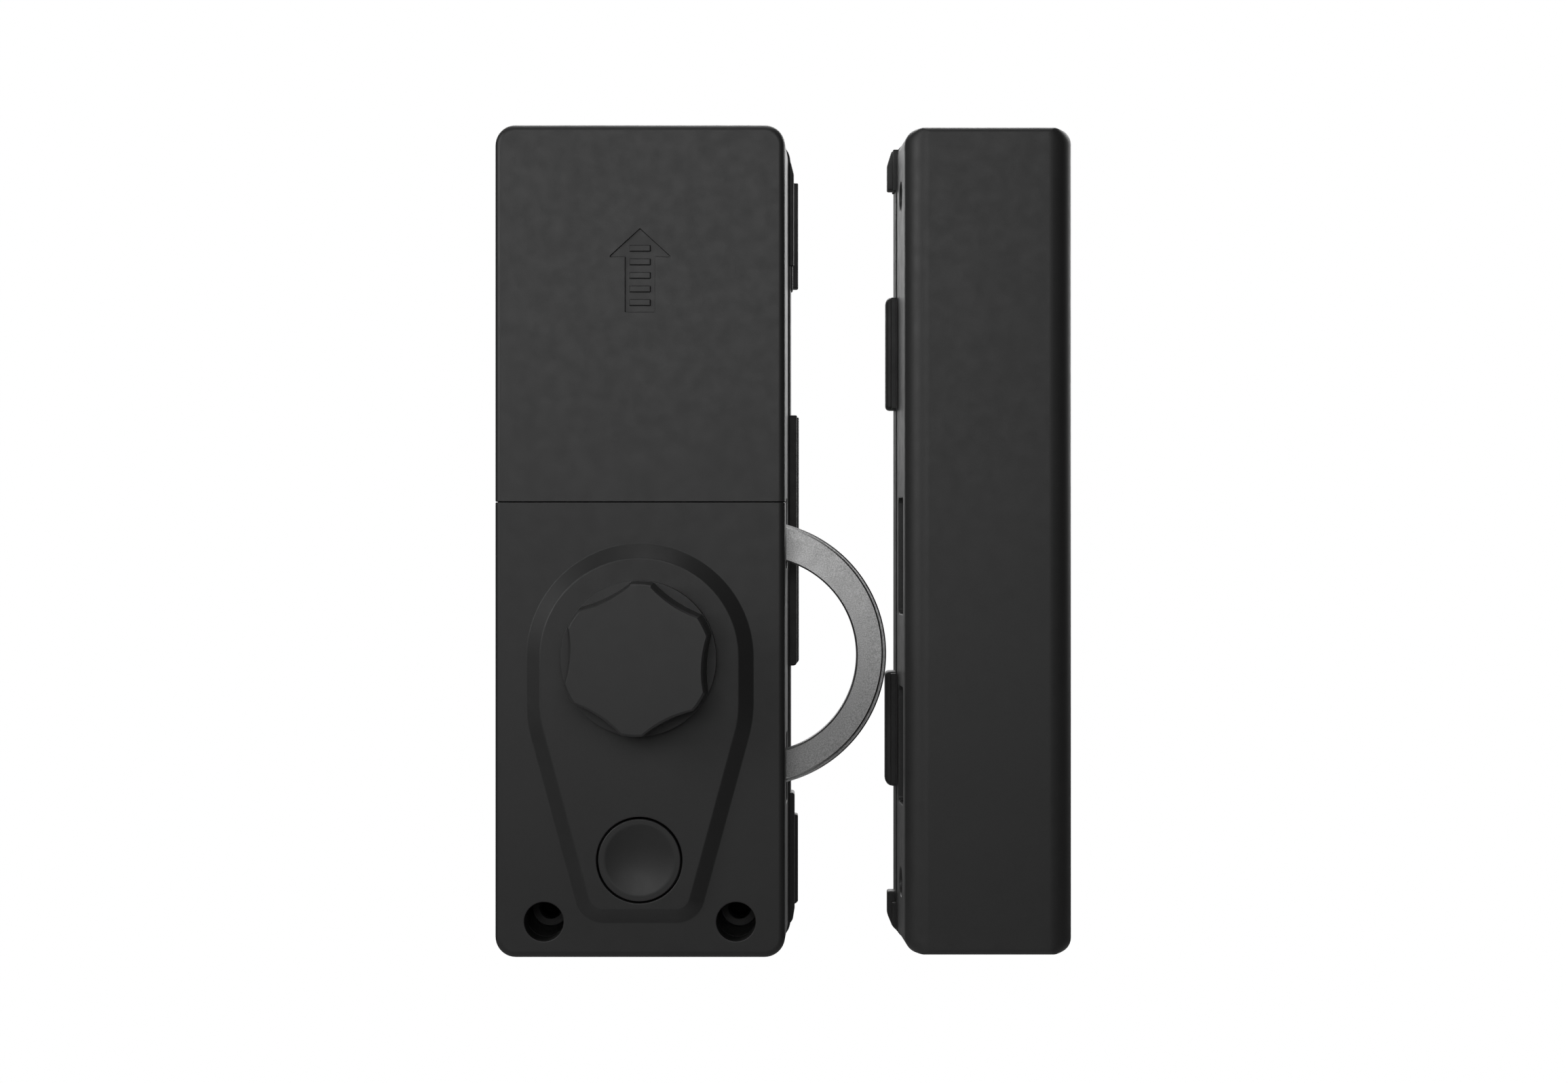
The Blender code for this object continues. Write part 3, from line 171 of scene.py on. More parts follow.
class Solid:
    """Closed skins in millimetres, which become one mesh piece."""

    def __init__(self):
        self.points = []
        self.faces = []

    def loop(self, points):
        first = len(self.points)
        self.points += points
        return list(range(first, len(self.points)))

    def bridge(self, one, two, skip=()):
        for i in range(len(one)):
            if i not in skip:
                j = (i + 1) % len(one)
                self.faces.append((one[i], one[j], two[j], two[i]))

    def skin(self, loops):
        """Joins each loop to the next, and returns the last."""
        for one, two in zip(loops, loops[1:]):
            self.bridge(one, two)
        return loops[-1]

    def cap(self, loop):
        self.faces.append(tuple(loop))

    def fill(self, *loops):
        """A flat face, square to an axis, inside the first loop and with the other loops as holes."""
        whole_hull = 0
        closeness = 1e-7
        flat = [i for loop in loops for i in loop]
        axes = list(zip(*(self.points[i] for i in flat)))
        spans = [max(axis) - min(axis) for axis in axes]
        across = [k for k in range(3) if k != spans.index(min(spans))]
        spots = [Vector([self.points[i][k] for k in across]) for i in flat]
        rings = []
        sides = []
        for loop in loops:
            start = sum(len(ring) for ring in rings)
            rings.append(spots[start : start + len(loop)])
            sides += [(start + i, start + (i + 1) % len(loop)) for i in range(len(loop))]
        corners, _, triangles, sources = delaunay_2d_cdt(spots, sides, [], whole_hull, closeness)[:4]
        if not all(sources):
            raise ValueError("loops cross")
        for triangle in triangles:
            middle = sum((corners[i] for i in triangle), Vector((0, 0))) / 3
            if inside(middle, rings[0]) and not any(inside(middle, ring) for ring in rings[1:]):
                self.faces.append(tuple(flat[sources[i][0]] for i in triangle))

    def swept(self, corners, profile, shares=None):
        """Loops round an outline, one for each (inset, y) of the profile. Returns the first and the last."""
        loops = [self.loop(at(outline(corners, inset, shares), y)) for inset, y in profile]
        self.skin(loops)
        return loops[0], loops[-1]

    def bored(self, x, z, profile, steps=48):
        """Loops round a bore, one for each (radius, y). Returns the first and the last."""
        loops = [self.loop(at(circle(x, z, radius, steps), y)) for radius, y in profile]
        self.skin(loops)
        return loops[0], loops[-1]

    def prism(self, corners, front_y, back_y, edge=0.2, steps=2):
        """An outline with thickness, rounded along both rims."""
        path = [(edge * 2, front_y), (0, front_y), (0, back_y), (edge * 2, back_y)]
        profile = rounded_path(path, [edge, edge], steps)[1:-1]
        first, last = self.swept(corners, profile)
        self.cap(first)
        self.cap(last)

    def turned(self, x, z, profile, steps=64):
        """A profile of (radius, y) turned round an axis, from the axis back to the axis."""
        loops = []
        for radius, y in profile:
            loops.append(self.loop([(x, y, z)] if radius == 0 else at(circle(x, z, radius, steps), y)))
        for one, two in zip(loops, loops[1:]):
            if len(one) == 1 or len(two) == 1:
                tip, rim = (one[0], two) if len(one) == 1 else (two[0], one)
                for i in range(len(rim)):
                    self.faces.append((tip, rim[i], rim[(i + 1) % len(rim)]))
            else:
                self.bridge(one, two)

    def piece(self, name, look, slot, body, *replaced, shape=None):
        """The mesh piece. A shape of (centre x, half width, draft, start y) widens it towards the back."""
        same_spot = 1e-7
        points = self.points
        if shape:
            centre, half, draft, start = shape
            points = [(centre + (x - centre) * (1 + draft * (y - start) / half), y, z) for x, y, z in points]
        mesh = bpy.data.meshes.new(name)
        mesh.from_pydata([Vector(point) * MM for point in points], [], self.faces)
        bm = bmesh.new()
        bm.from_mesh(mesh)
        bmesh.ops.remove_doubles(bm, verts=bm.verts, dist=same_spot)
        bmesh.ops.recalc_face_normals(bm, faces=bm.faces)
        face_out(bm)
        bm.to_mesh(mesh)
        bm.free()
        soften_normals(mesh)
        mesh.materials.append(LOOKS[look])
        obj = bpy.data.objects.new(name, mesh)
        bpy.context.scene.collection.objects.link(obj)
        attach(obj, body)
        if replaced:
            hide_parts(*replaced)


def face_out(bm):
    """Turns round each closed skin that is inside out."""
    left = set(bm.faces)
    while left:
        island = {left.pop()}
        edge = list(island)
        while edge:
            for side in edge.pop().edges:
                for other in side.link_faces:
                    if other in left:
                        left.remove(other)
                        island.add(other)
                        edge.append(other)
        volume = 0.0
        for face in island:
            spots = [vert.co for vert in face.verts]
            for two, three in zip(spots[1:], spots[2:]):
                volume += spots[0].dot(two.cross(three))
        if volume < 0:
            bmesh.ops.reverse_faces(bm, faces=list(island))


def flat_areas(bm):
    """For each face, the area of the flat region that it belongs to."""
    nearly_flat = math.radians(0.5)
    areas = {}
    for start in bm.faces:
        if start.index in areas:
            continue
        group = {start}
        edge = [start]
        while edge:
            for side in edge.pop().edges:
                for other in side.link_faces:
                    if other not in group and other.normal.angle(start.normal, 0.0) < nearly_flat:
                        group.add(other)
                        edge.append(other)
        total = sum(face.calc_area() for face in group)
        for face in group:
            areas[face.index] = total
    return areas


def soften_normals(mesh):
    """Gives each corner the normal of the largest flat round it, so that flats look flat and edges round."""
    bm = bmesh.new()
    bm.from_mesh(mesh)
    bm.faces.ensure_lookup_table()
    areas = flat_areas(bm)
    limit = math.radians(38.0)
    normals = {}
    for vert in bm.verts:
        left = set(vert.link_faces)
        while left:
            fan = [left.pop()]
            for face in fan:
                for side in face.edges:
                    if vert not in side.verts:
                        continue
                    for other in side.link_faces:
                        if other in left and other.normal.angle(face.normal, 0.0) < limit:
                            left.remove(other)
                            fan.append(other)
            total = Vector()
            for face in fan:
                total += face.normal * areas[face.index]
            for face in fan:
                normals[face.index, vert.index] = total.normalized()
    corners = [normals[face.index, vert.index] for face in bm.faces for vert in face.verts]
    bm.free()
    mesh.shade_smooth()
    mesh.normals_split_custom_set(corners)


# ---- Looks ----
NOISE_MIDDLE = (0.3, 0.7)
# The painted wall shade fades out between these two facings.
WALL_SHADE_FACING = (0.15, 0.45)  # how far a face turns to the front or the back, from a wall to a full face
BROAD_NOISE = (14.0, 3.0)  # size in millimetres, and detail
GLOSS_NOISE = (3.0, 4.0)
GLOSS_SWING = 0.08


def noise(tree, coordinates, size, detail=2.0):
    """A noise texture whose features are about size millimetres across."""
    node = tree.nodes.new("ShaderNodeTexNoise")
    node.inputs["Scale"].default_value = 1 / (size * MM)
    node.inputs["Detail"].default_value = detail
    tree.links.new(coordinates, node.inputs["Vector"])
    return node.outputs["Fac"]


def spread(tree, value, low, high):
    """Maps the middle of a noise to low..high."""
    node = tree.nodes.new("ShaderNodeMapRange")
    node.inputs["From Min"].default_value, node.inputs["From Max"].default_value = NOISE_MIDDLE
    node.inputs["To Min"].default_value = low
    node.inputs["To Max"].default_value = high
    tree.links.new(value, node.inputs["Value"])
    return node.outputs["Result"]


def paint_wall_shade(tree, shade, level):
    """Paints shade on walls: scales a colour down to level on faces that turn away from the front and the back.
    """
    turned = tree.nodes.new("ShaderNodeSeparateXYZ")
    tree.links.new(tree.nodes.new("ShaderNodeTexCoord").outputs["Normal"], turned.inputs[0])
    facing = tree.nodes.new("ShaderNodeMath")
    facing.operation = "ABSOLUTE"
    tree.links.new(turned.outputs["Y"], facing.inputs[0])
    wall_shade_mask = tree.nodes.new("ShaderNodeMapRange")
    wall_shade_mask.inputs["From Min"].default_value, wall_shade_mask.inputs["From Max"].default_value = WALL_SHADE_FACING
    wall_shade_mask.inputs["To Min"].default_value = level
    tree.links.new(facing.outputs[0], wall_shade_mask.inputs["Value"])
    product = tree.nodes.new("ShaderNodeMath")
    product.operation = "MULTIPLY"
    tree.links.new(shade, product.inputs[0])
    tree.links.new(wall_shade_mask.outputs["Result"], product.inputs[1])
    return product.outputs[0]


def new_look(
    name,
    colour,
    roughness,
    metallic=0.0,
    grain=0.22,
    relief=0.006,
    tone=0.03,
    speckle=0.06,
    painted_wall_shade=1.0,
):
    """A surface with a fine grain in relief, uneven gloss, and a fine speckle and a broad unevenness in colour.
    The walls get painted shade, and the last argument is how dark they are painted next to the faces."""
    look = bpy.data.materials.new(name)
    look.use_nodes = True
    tree = look.node_tree
    shader = tree.nodes["Principled BSDF"]
    shader.inputs["Metallic"].default_value = metallic
    coordinates = tree.nodes.new("ShaderNodeTexCoord").outputs["Object"]
    fine = noise(tree, coordinates, grain)
    broad = noise(tree, coordinates, *BROAD_NOISE)
    shade = tree.nodes.new("ShaderNodeMath")
    shade.operation = "MULTIPLY"
    tree.links.new(spread(tree, fine, 1 - speckle, 1 + speckle), shade.inputs[0])
    tree.links.new(spread(tree, broad, 1 - tone, 1 + tone), shade.inputs[1])
    tint = tree.nodes.new("ShaderNodeVectorMath")
    tint.operation = "SCALE"
    tint.inputs[0].default_value = colour
    shading = shade.outputs[0]
    # Painted shade on the walls, when asked for.
    if painted_wall_shade < 1:
        shading = paint_wall_shade(tree, shading, painted_wall_shade)
    tree.links.new(shading, tint.inputs["Scale"])
    tree.links.new(tint.outputs["Vector"], shader.inputs["Base Color"])
    gloss = noise(tree, coordinates, *GLOSS_NOISE)
    gloss = spread(tree, gloss, roughness * (1 - GLOSS_SWING), roughness * (1 + GLOSS_SWING))
    tree.links.new(gloss, shader.inputs["Roughness"])
    bump = tree.nodes.new("ShaderNodeBump")
    bump.inputs["Distance"].default_value = relief * MM
    tree.links.new(fine, bump.inputs["Height"])
    tree.links.new(bump.outputs["Normal"], shader.inputs["Normal"])
    return look


def grey(value):
    return (value, value, value)


LOOKS = {
    "cover": new_look("cover", grey(0.034), 0.46),
    "shell_black": new_look("housing", grey(0.0285), 0.46),
    "strike": new_look("strike", grey(0.032), 0.46),
    "knob_black": new_look("knob", grey(0.032), 0.44, grain=0.16),
    "button_black": new_look("button", grey(0.030), 0.46, grain=0.16),
    "frame_black": new_look("frame", grey(0.032), 0.42, grain=0.3, relief=0.02, speckle=0.2),
    "base_dark": new_look("base", grey(0.022), 0.5, grain=0.25, relief=0.01, speckle=0.12),
    # The steel's walls are painted darker than its faces: painted shade.
    "bolt_steel": new_look(
        "steel", grey(0.5), 0.42, 1.0, grain=0.25, relief=0.012, tone=0.03, speckle=0.28, painted_wall_shade=0.16
    ),
    "hardware_steel": new_look("hardware", grey(0.5), 0.3, 1.0, grain=0.3, relief=0.003, tone=0.06),
    "zinc_sheet": new_look("zinc", grey(0.45), 0.42, 1.0, grain=0.8, relief=0.004, tone=0.14, speckle=0.08),
    "gear_brass": new_look("brass", (0.58, 0.42, 0.17), 0.34, 1.0, grain=0.25, relief=0.004, tone=0.1),
    "nylon_white": new_look(
        "nylon", (0.72, 0.71, 0.66), 0.45, grain=0.3, relief=0.004, tone=0.04, speckle=0.02
    ),
    "gasket_rubber": new_look("rubber", grey(0.02), 0.85, grain=0.35, relief=0.05, speckle=0.3),
    "board_green": new_look(
        "board", (0.018, 0.085, 0.035), 0.36, grain=1.2, relief=0.01, tone=0.16, speckle=0.12
    ),
    "component_black": new_look("component", grey(0.02), 0.55, grain=0.2, relief=0.008),
    "cell_wrap": new_look("cell", (0.1, 0.11, 0.13), 0.26, grain=0.8, relief=0.004, tone=0.06),
    "contact_spring_steel": new_look(
        "contact", (0.6, 0.58, 0.54), 0.25, 1.0, grain=0.4, relief=0.003, tone=0.08
    ),
}


# ---- Lock body shells ----
def shell_sides(solid, corners, shares, back_y):
    """The outside of a shell from its back rim, round its front edge, and its cavity.
    Returns the loop round the front face and the loop round the cavity's floor."""
    lip = 0.15
    slope = 0.6
    path = [(lip * 2, back_y), (0, back_y), (0, FRONT_Y), (FRONT_EDGE_R * 2, FRONT_Y)]
    profile = rounded_path(path, [lip, FRONT_EDGE_R], 7)[1:-1]
    rim, front = solid.swept(corners, profile, shares)
    floor_y = FRONT_Y + FRONT_WALL
    cavity = [(WALL, back_y), (WALL, floor_y + slope), (WALL + slope, floor_y)]
    inner_rim, floor = solid.swept(corners, cavity)
    solid.bridge(rim, inner_rim)
    return front, floor


def recess(solid, corners, depth, raised):
    """A shallow recess in the front, with raised bars in it. Returns the loop round its mouth."""
    soft, bar_soft = 0.1, 0.16
    lean, bar_lean = 0.05, 0.08
    bar_y, bar_reach = -0.02, 0.5
    path = [(-soft * 2, 0), (0, 0), (lean, depth), (soft * 2, depth)]
    profile = [(inset, FRONT_Y + y) for inset, y in rounded_path(path, [soft, soft], 3)[1:-1]]
    mouth, floor = solid.swept(corners, profile)
    path = [(-soft * 2, depth), (0, depth), (bar_lean, bar_y), (bar_reach, bar_y)]
    profile = [(inset, FRONT_Y + y) for inset, y in rounded_path(path, [soft, bar_soft], 3)[1:-1]]
    feet = []
    for bar in raised:
        foot, top = solid.swept(bar, profile)
        solid.cap(top)
        feet.append(foot)
    solid.fill(floor, *feet)
    return mouth


def arrow_corners():
    apex, head_half, head_height, shaft_half, bottom = 70.0, 7.1, 6.5, 3.35, 51.2
    shoulder = apex - head_height
    neck = shoulder + 0.2
    left = [(-head_half, shoulder), (-shaft_half, neck), (-shaft_half, bottom)]
    right = [(-x, z) for x, z in reversed(left)]
    return [(x, z, 0.2, 3) for x, z in [(0, apex), *left, *right]]


def build_cover():
    solid = Solid()
    low = COVER_LOW.z - SEAM_LAP
    corners = [
        (HALF_WIDTH, HALF_HEIGHT, CORNER_R, CORNER_STEPS),
        (-HALF_WIDTH, HALF_HEIGHT, CORNER_R, CORNER_STEPS),
        (-HALF_WIDTH, low, *SEAM_CORNER),
        (HALF_WIDTH, low, *SEAM_CORNER),
    ]
    front, floor = shell_sides(solid, corners, [1, 1, SEAM_SHARE, 1], COVER_HIGH.y)
    bar_half, bar_rise, first_bar_z, bar_pitch = 2.35, 0.725, 53.4, 3.04
    bars = []
    for i in range(5):
        z = first_bar_z + bar_pitch * i
        bars.append(box_corners(-bar_half, bar_half, z - bar_rise, z + bar_rise, 0.15, 2))
    solid.fill(front, recess(solid, arrow_corners(), 0.5, bars))
    solid.cap(floor)
    solid.piece("cover_shell", "cover", "shell_black", "cover", "battery_cover", shape=LOCK_SHAPE)


BOSS_FRONT_Y = FRONT_Y - 2.5
BOSS_SOFT = [0.5, 0.7]  # radii at the foot and the top of its slope
KNOB_Z = (KNOB_LOW.z + KNOB_HIGH.z) / 2
BUTTON_Z = (BUTTON_LOW.z + BUTTON_HIGH.z) / 2
WELLS = ((-21.5, -85.2), (21.5, -85.2))
WELL_R = 4.37
WELL_TUBE_R = WELL_R + 0.8
KNOB_HOLE_R = 6.08
BUTTON_HOLE_R = 9.6


def boss_corners():
    """The teardrop's outline: round at the top, and narrower at the bottom."""
    boss_r, bottom, bend, bottom_half = 25.5, -85.5, -40.0, 13.1
    top = KNOB_Z + boss_r
    top_round, bend_round, bottom_round = (boss_r, 24), (30.0, 8), (6.5, 10)
    return [
        (boss_r, top, *top_round),
        (-boss_r, top, *top_round),
        (-boss_r, bend, *bend_round),
        (-bottom_half, bottom, *bottom_round),
        (bottom_half, bottom, *bottom_round),
        (boss_r, bend, *bend_round),
    ]


def rounded_mouth(radius, y):
    """The (radius, y) points of a bore's soft edge, from the face at y inwards."""
    return [(radius + 0.3, y), (radius + 0.09, y + 0.09), (radius, y + 0.3)]


def build_housing():
    solid = Solid()
    top = HOUSING_HIGH.z + SEAM_LAP
    corners = [
        (HALF_WIDTH, top, *SEAM_CORNER),
        (-HALF_WIDTH, top, *SEAM_CORNER),
        (-HALF_WIDTH, -HALF_HEIGHT, CORNER_R, CORNER_STEPS),
        (HALF_WIDTH, -HALF_HEIGHT, CORNER_R, CORNER_STEPS),
    ]
    front, floor = shell_sides(solid, corners, [SEAM_SHARE, 1, 1, 1], HOUSING_HIGH.y)
    floor_y = FRONT_Y + FRONT_WALL
    path = [(-2.0, FRONT_Y), (0.1, FRONT_Y), (3.3, BOSS_FRONT_Y), (6.0, BOSS_FRONT_Y)]
    foot, plateau = solid.swept(boss_corners(), rounded_path(path, BOSS_SOFT, 4)[1:-1])
    well_mouths = []
    boss_mouths = []
    roots = []
    tube = [(WELL_R, HOUSING_HIGH.y), (WELL_TUBE_R, HOUSING_HIGH.y), (WELL_TUBE_R, floor_y)]
    for x, z in WELLS:
        mouth, root = solid.bored(x, z, rounded_mouth(WELL_R, FRONT_Y) + tube)
        well_mouths.append(mouth)
        roots.append(root)
    for z, radius in ((KNOB_Z, KNOB_HOLE_R), (BUTTON_Z, BUTTON_HOLE_R)):
        mouth, root = solid.bored(0, z, [*rounded_mouth(radius, BOSS_FRONT_Y), (radius, floor_y)], 64)
        boss_mouths.append(mouth)
        roots.append(root)
    solid.fill(front, foot, *well_mouths)
    solid.fill(plateau, *boss_mouths)
    solid.fill(floor, *roots)
    solid.piece(
        "housing_shell", "shell_black", "shell_black", "lock_body", "front_housing", shape=LOCK_SHAPE
    )


# ---- Knob and button ----
KNOB_TURN = 26.6
SCALLOPS = 6
SCALLOP_DEPTH = 1.95
LOBE_HALF = 8.0  # degrees on each side of a lobe's middle


def lobed_outline(radius):
    """A circle with concave scallops: lobe arcs and hollow arcs with crisp corners between them."""
    corner = 0.25
    hollow_share = 0.99
    pitch = 360.0 / SCALLOPS
    valley_half = pitch / 2 - LOBE_HALF
    chord = radius * math.sin(math.radians(valley_half))
    sag = SCALLOP_DEPTH - radius * (1 - math.cos(math.radians(valley_half)))
    hollow_r = (chord**2 + sag**2) / (2 * sag)
    hollow_half = math.asin(chord / hollow_r)
    centre_far = radius - SCALLOP_DEPTH + hollow_r
    points = []
    for lobe in range(SCALLOPS):
        middle = KNOB_TURN + pitch * lobe
        for i in range(5):
            angle = math.radians(middle + (LOBE_HALF - corner) * (i / 2 - 1))
            points.append((radius * math.cos(angle), KNOB_Z + radius * math.sin(angle)))
        toward = math.radians(middle + pitch / 2)
        for i in range(15):
            swing = hollow_half * hollow_share * (1 - i / 7)
            reach = hollow_r * math.cos(swing)
            side = -hollow_r * math.sin(swing)
            x = (centre_far - reach) * math.cos(toward) - side * math.sin(toward)
            z = (centre_far - reach) * math.sin(toward) + side * math.cos(toward)
            points.append((x, KNOB_Z + z))
    return points


def build_knob():
    solid = Solid()
    radius = (KNOB_HIGH.x - KNOB_LOW.x) / 2
    skirt_y = -41.4
    bore_r, bore_end_y = 6.1, -44.0
    back_y = KNOB_HIGH.y
    front_y = KNOB_LOW.y
    path = [(0.6, back_y), (0, back_y), (0, skirt_y), (0.6, skirt_y)]
    skirt = [(radius - inset, y) for inset, y in rounded_path(path, [0.2, 0.1], 3)[1:-1]]
    under, rim = solid.bored(0, KNOB_Z, skirt, 120)
    bore_mouth, bore_end = solid.bored(0, KNOB_Z, [(bore_r, back_y), (bore_r, bore_end_y)])
    solid.fill(under, bore_mouth)
    solid.cap(bore_end)
    bevel = 0.42
    grip = [
        (17.15, skirt_y),
        (16.69, front_y + bevel + 0.12),
        (16.63, front_y + bevel),
        (16.65 - bevel, front_y + 0.05),
        (16.53 - bevel, front_y),
    ]
    loops = []
    for grip_r, y in grip:
        loops.append(solid.loop(at(lobed_outline(grip_r), y)))
    solid.skin(loops)
    solid.fill(rim, loops[0])
    solid.cap(loops[-1])
    solid.piece("knob_grip", "knob_black", "knob_black", "knob", "knob_cap")


def build_button():
    solid = Solid()
    front_y = BUTTON_LOW.y
    radius = 9.2
    dish_r = 8.15
    depth = 1.3
    steps = 12
    profile = [(0.0, front_y + depth)]
    for i in range(1, steps + 1):
        share = i / steps
        profile.append((dish_r * share, front_y + depth * (1 - share**2)))
    flange_r, flange_front_y, flange_back_y = 10.7, -32.4, -31.2
    stem_r = 2.5
    side = [(dish_r + 0.1, front_y), (radius, front_y), (radius, flange_front_y)]
    profile += rounded_path(side, [0.25], 3)[1:]
    profile += [(flange_r, flange_front_y), (flange_r, flange_back_y), (stem_r, flange_back_y)]
    profile += [(stem_r, BUTTON_HIGH.y), (0.0, BUTTON_HIGH.y)]
    solid.turned(0, BUTTON_Z, profile)
    solid.piece("button_dish", "button_black", "button_black", "button", "push_button")


# ---- Ring bolt ----
RING_X, RING_Z = 25.5, -26.0
RING_OUTER = (RING_X - 0.5, RING_Z + 0.45, 29.9)
RING_INNER = (RING_X + 0.9, RING_Z - 0.1, 22.4)
RING_RIM = (RING_X - 0.3, RING_Z + 0.2, 30.55)
RING_START, RING_END = -86.0, 99.0
RING_RIM_Y = -18.9
RING_STEP_Y = -17.8
RING_TEETH = 58
RING_FLANGE_R = 23.6
TOOTH_ROOT, TOOTH_TIP, TOOTH_PLAY = 1.0, 0.8, 0.3
PRESSURE = math.radians(25.0)


def involute(angle):
    return math.tan(angle) - angle


def tooth(angle):
    """The points of one ring tooth, centred on this angle: root, pitch and tip on each side."""
    pitch_r = RING_TEETH / 2
    base_r = pitch_r * math.cos(PRESSURE)
    at_pitch = math.pi / (2 * RING_TEETH) - TOOTH_PLAY / (4 * pitch_r)
    sides = []
    for radius in (pitch_r - TOOTH_ROOT, pitch_r, pitch_r + TOOTH_TIP):
        half = at_pitch + involute(PRESSURE) - involute(math.acos(min(1.0, base_r / radius)))
        sides.append((radius, half))
    ends = [(radius, -half) for radius, half in sides] + [(radius, half) for radius, half in sides[::-1]]
    return [(RING_X + r * math.cos(angle + h), RING_Z + r * math.sin(angle + h)) for r, h in ends]


def on_circle(x, z, radius, degrees):
    angle = math.radians(degrees)
    return (x + radius * math.cos(angle), z + radius * math.sin(angle))


def arc(x, z, radius, start, end, steps):
    return [on_circle(x, z, radius, start + (end - start) * i / steps) for i in range(steps + 1)]


def ring_layer(solid, outer, section):
    """One layer of the ring. section(width) gives its (distance from the outer rim, y) points."""
    steps = 100
    far_points = arc(*outer, RING_START, RING_END, steps)
    near_points = arc(*RING_INNER, RING_START, RING_END, steps)
    loops = []
    for far, near in zip(far_points, near_points):
        far, near = Vector(far), Vector(near)
        across = (near - far).normalized()
        spots = [(far + across * reach, y) for reach, y in section((near - far).length)]
        loops.append(solid.loop([(spot.x, y, spot.y) for spot, y in spots]))
    solid.skin(loops)
    solid.cap(loops[0])
    solid.cap(loops[-1])


def face_section(width):
    """The front layer: its face falls away a little towards the outer rim, and both rims have a chamfer."""
    front_y = RING_LOW.y
    back_y = RING_RIM_Y + 0.05
    fall = 0.22
    across, down = 0.35, 0.4
    return [
        (0.0, back_y),
        (0.0, front_y + fall + down),
        (across, front_y + fall),
        (width - across, front_y),
        (width, front_y + down),
        (width, back_y),
    ]


def rim_section(width):
    """The layer behind it, with a chamfer at its outer rim."""
    chamfer = 0.3
    return [
        (0.0, RING_STEP_Y),
        (0.0, RING_RIM_Y + chamfer),
        (chamfer, RING_RIM_Y),
        (width, RING_RIM_Y),
        (width, RING_STEP_Y),
    ]


def ring_flange(solid):
    """The toothed layer at the back, a little shorter at both ends."""
    inset = 0.4
    start, end = RING_START + inset, RING_END - inset
    pitch = 2 * math.pi / RING_TEETH
    first = math.ceil(math.radians(start) / pitch + 0.5)
    last = math.floor(math.radians(end) / pitch - 0.5)
    root_r = RING_TEETH / 2 - TOOTH_ROOT
    points = [on_circle(RING_X, RING_Z, root_r, start)]
    for k in range(first, last + 1):
        points += tooth(pitch * k)
    points.append(on_circle(RING_X, RING_Z, root_r, end))
    points += arc(RING_X, RING_Z, RING_FLANGE_R, end, start, 80)
    front = solid.loop(at(points, RING_STEP_Y))
    back = solid.loop(at(points, RING_HIGH.y))
    solid.bridge(front, back)
    solid.cap(front)
    solid.cap(back)


def build_ring():
    solid = Solid()
    ring_layer(solid, RING_OUTER, face_section)
    ring_layer(solid, RING_RIM, rim_section)
    ring_flange(solid)
    solid.piece("ring_steel", "bolt_steel", "bolt_steel", "ring", "ring_bolt")


# ---- Frames and bases ----
def notched(centre_x, half, z0, z1, notches):
    """The inside of a frame: a box whose two sides step in to notch[2] between notch[0] and notch[1]."""
    right = []
    slope = 0.4
    gap = 0.3
    for low, high, inner in sorted(notches):
        start = [(half, low), (inner, low + slope)] if low > z0 + gap else [(inner, z0)]
        right += start + [(inner, high - slope), (half, high)]
    if min(notches)[0] > z0 + gap:
        right.insert(0, (half, z0))
    right.append((half, z1))
    left = [(-x, z) for x, z in reversed(right)]
    return [(centre_x + x, z) for x, z in right + left]


def segment_at(points, x, z):
    """The index of the upright segment of an outline that passes through x, z."""
    near = 0.01
    for i in range(len(points)):
        (x0, z0), (x1, z1) = points[i], points[(i + 1) % len(points)]
        if abs(x0 - x) < near and abs(x1 - x) < near and min(z0, z1) < z < max(z0, z1):
            return i
    raise ValueError("no upright segment there")


def frame_band(solid, corners, hollow, front_y, back_y, side_x, side, openings, bores):
    """A band with a hollow, side openings through the wall at side_x, and (x, z, front profile) bores."""
    soft = 0.22
    path = [(soft * 2, front_y), (0, front_y), (0, back_y), (soft * 2, back_y)]
    profile = rounded_path(path, [soft, soft], 3)[1:-1]
    layers = [solid.loop(at(outline(corners, inset), y)) for inset, y in profile]
    some_z = openings[0][0][1]
    outer_at = segment_at(outline(corners), side_x, some_z)
    half = len(layers) // 2 - 1
    for i, (one, two) in enumerate(zip(layers, layers[1:])):
        solid.bridge(one, two, (outer_at,) if i == half else ())
    front_in = solid.loop(at(hollow, front_y))
    back_in = solid.loop(at(hollow, back_y))
    inner_x = side_x - side * WALL
    mouths = []
    roots = {}
    rounds = [(0.3, 0.0), (0.09, 0.09), (0.0, 0.3), (0.0, WALL)]
    for hole in openings:
        loops = []
        for grow, depth in rounds:
            points = outline(hole, -grow)
            loops.append(solid.loop([(side_x - side * depth, y, z) for y, z in points]))
        solid.skin(loops)
        mouths.append(loops[0])
        middle_z = sum(corner[1] for corner in hole) / len(hole)
        roots.setdefault(segment_at(hollow, inner_x, middle_z), []).append(loops[-1])
    solid.bridge(front_in, back_in, roots)
    one, two = layers[half], layers[half + 1]
    i, j = outer_at, (outer_at + 1) % len(one)
    solid.fill([one[i], one[j], two[j], two[i]], *mouths)
    for i, ends in roots.items():
        j = (i + 1) % len(hollow)
        solid.fill([front_in[i], front_in[j], back_in[j], back_in[i]], *ends)
    front_holes = []
    back_holes = []
    for x, z, sections in bores:
        first, last = solid.bored(x, z, sections, 40)
        front_holes.append(first)
        back_holes.append(last)
    solid.fill(layers[0], front_in, *front_holes)
    solid.fill(layers[-1], back_in, *back_holes)


def opening(y0, y1, z0, z1, radius):
    """An opening's outline as (y, z) corners, anticlockwise."""
    return box_corners(y0, y1, z0, z1, radius, 5)


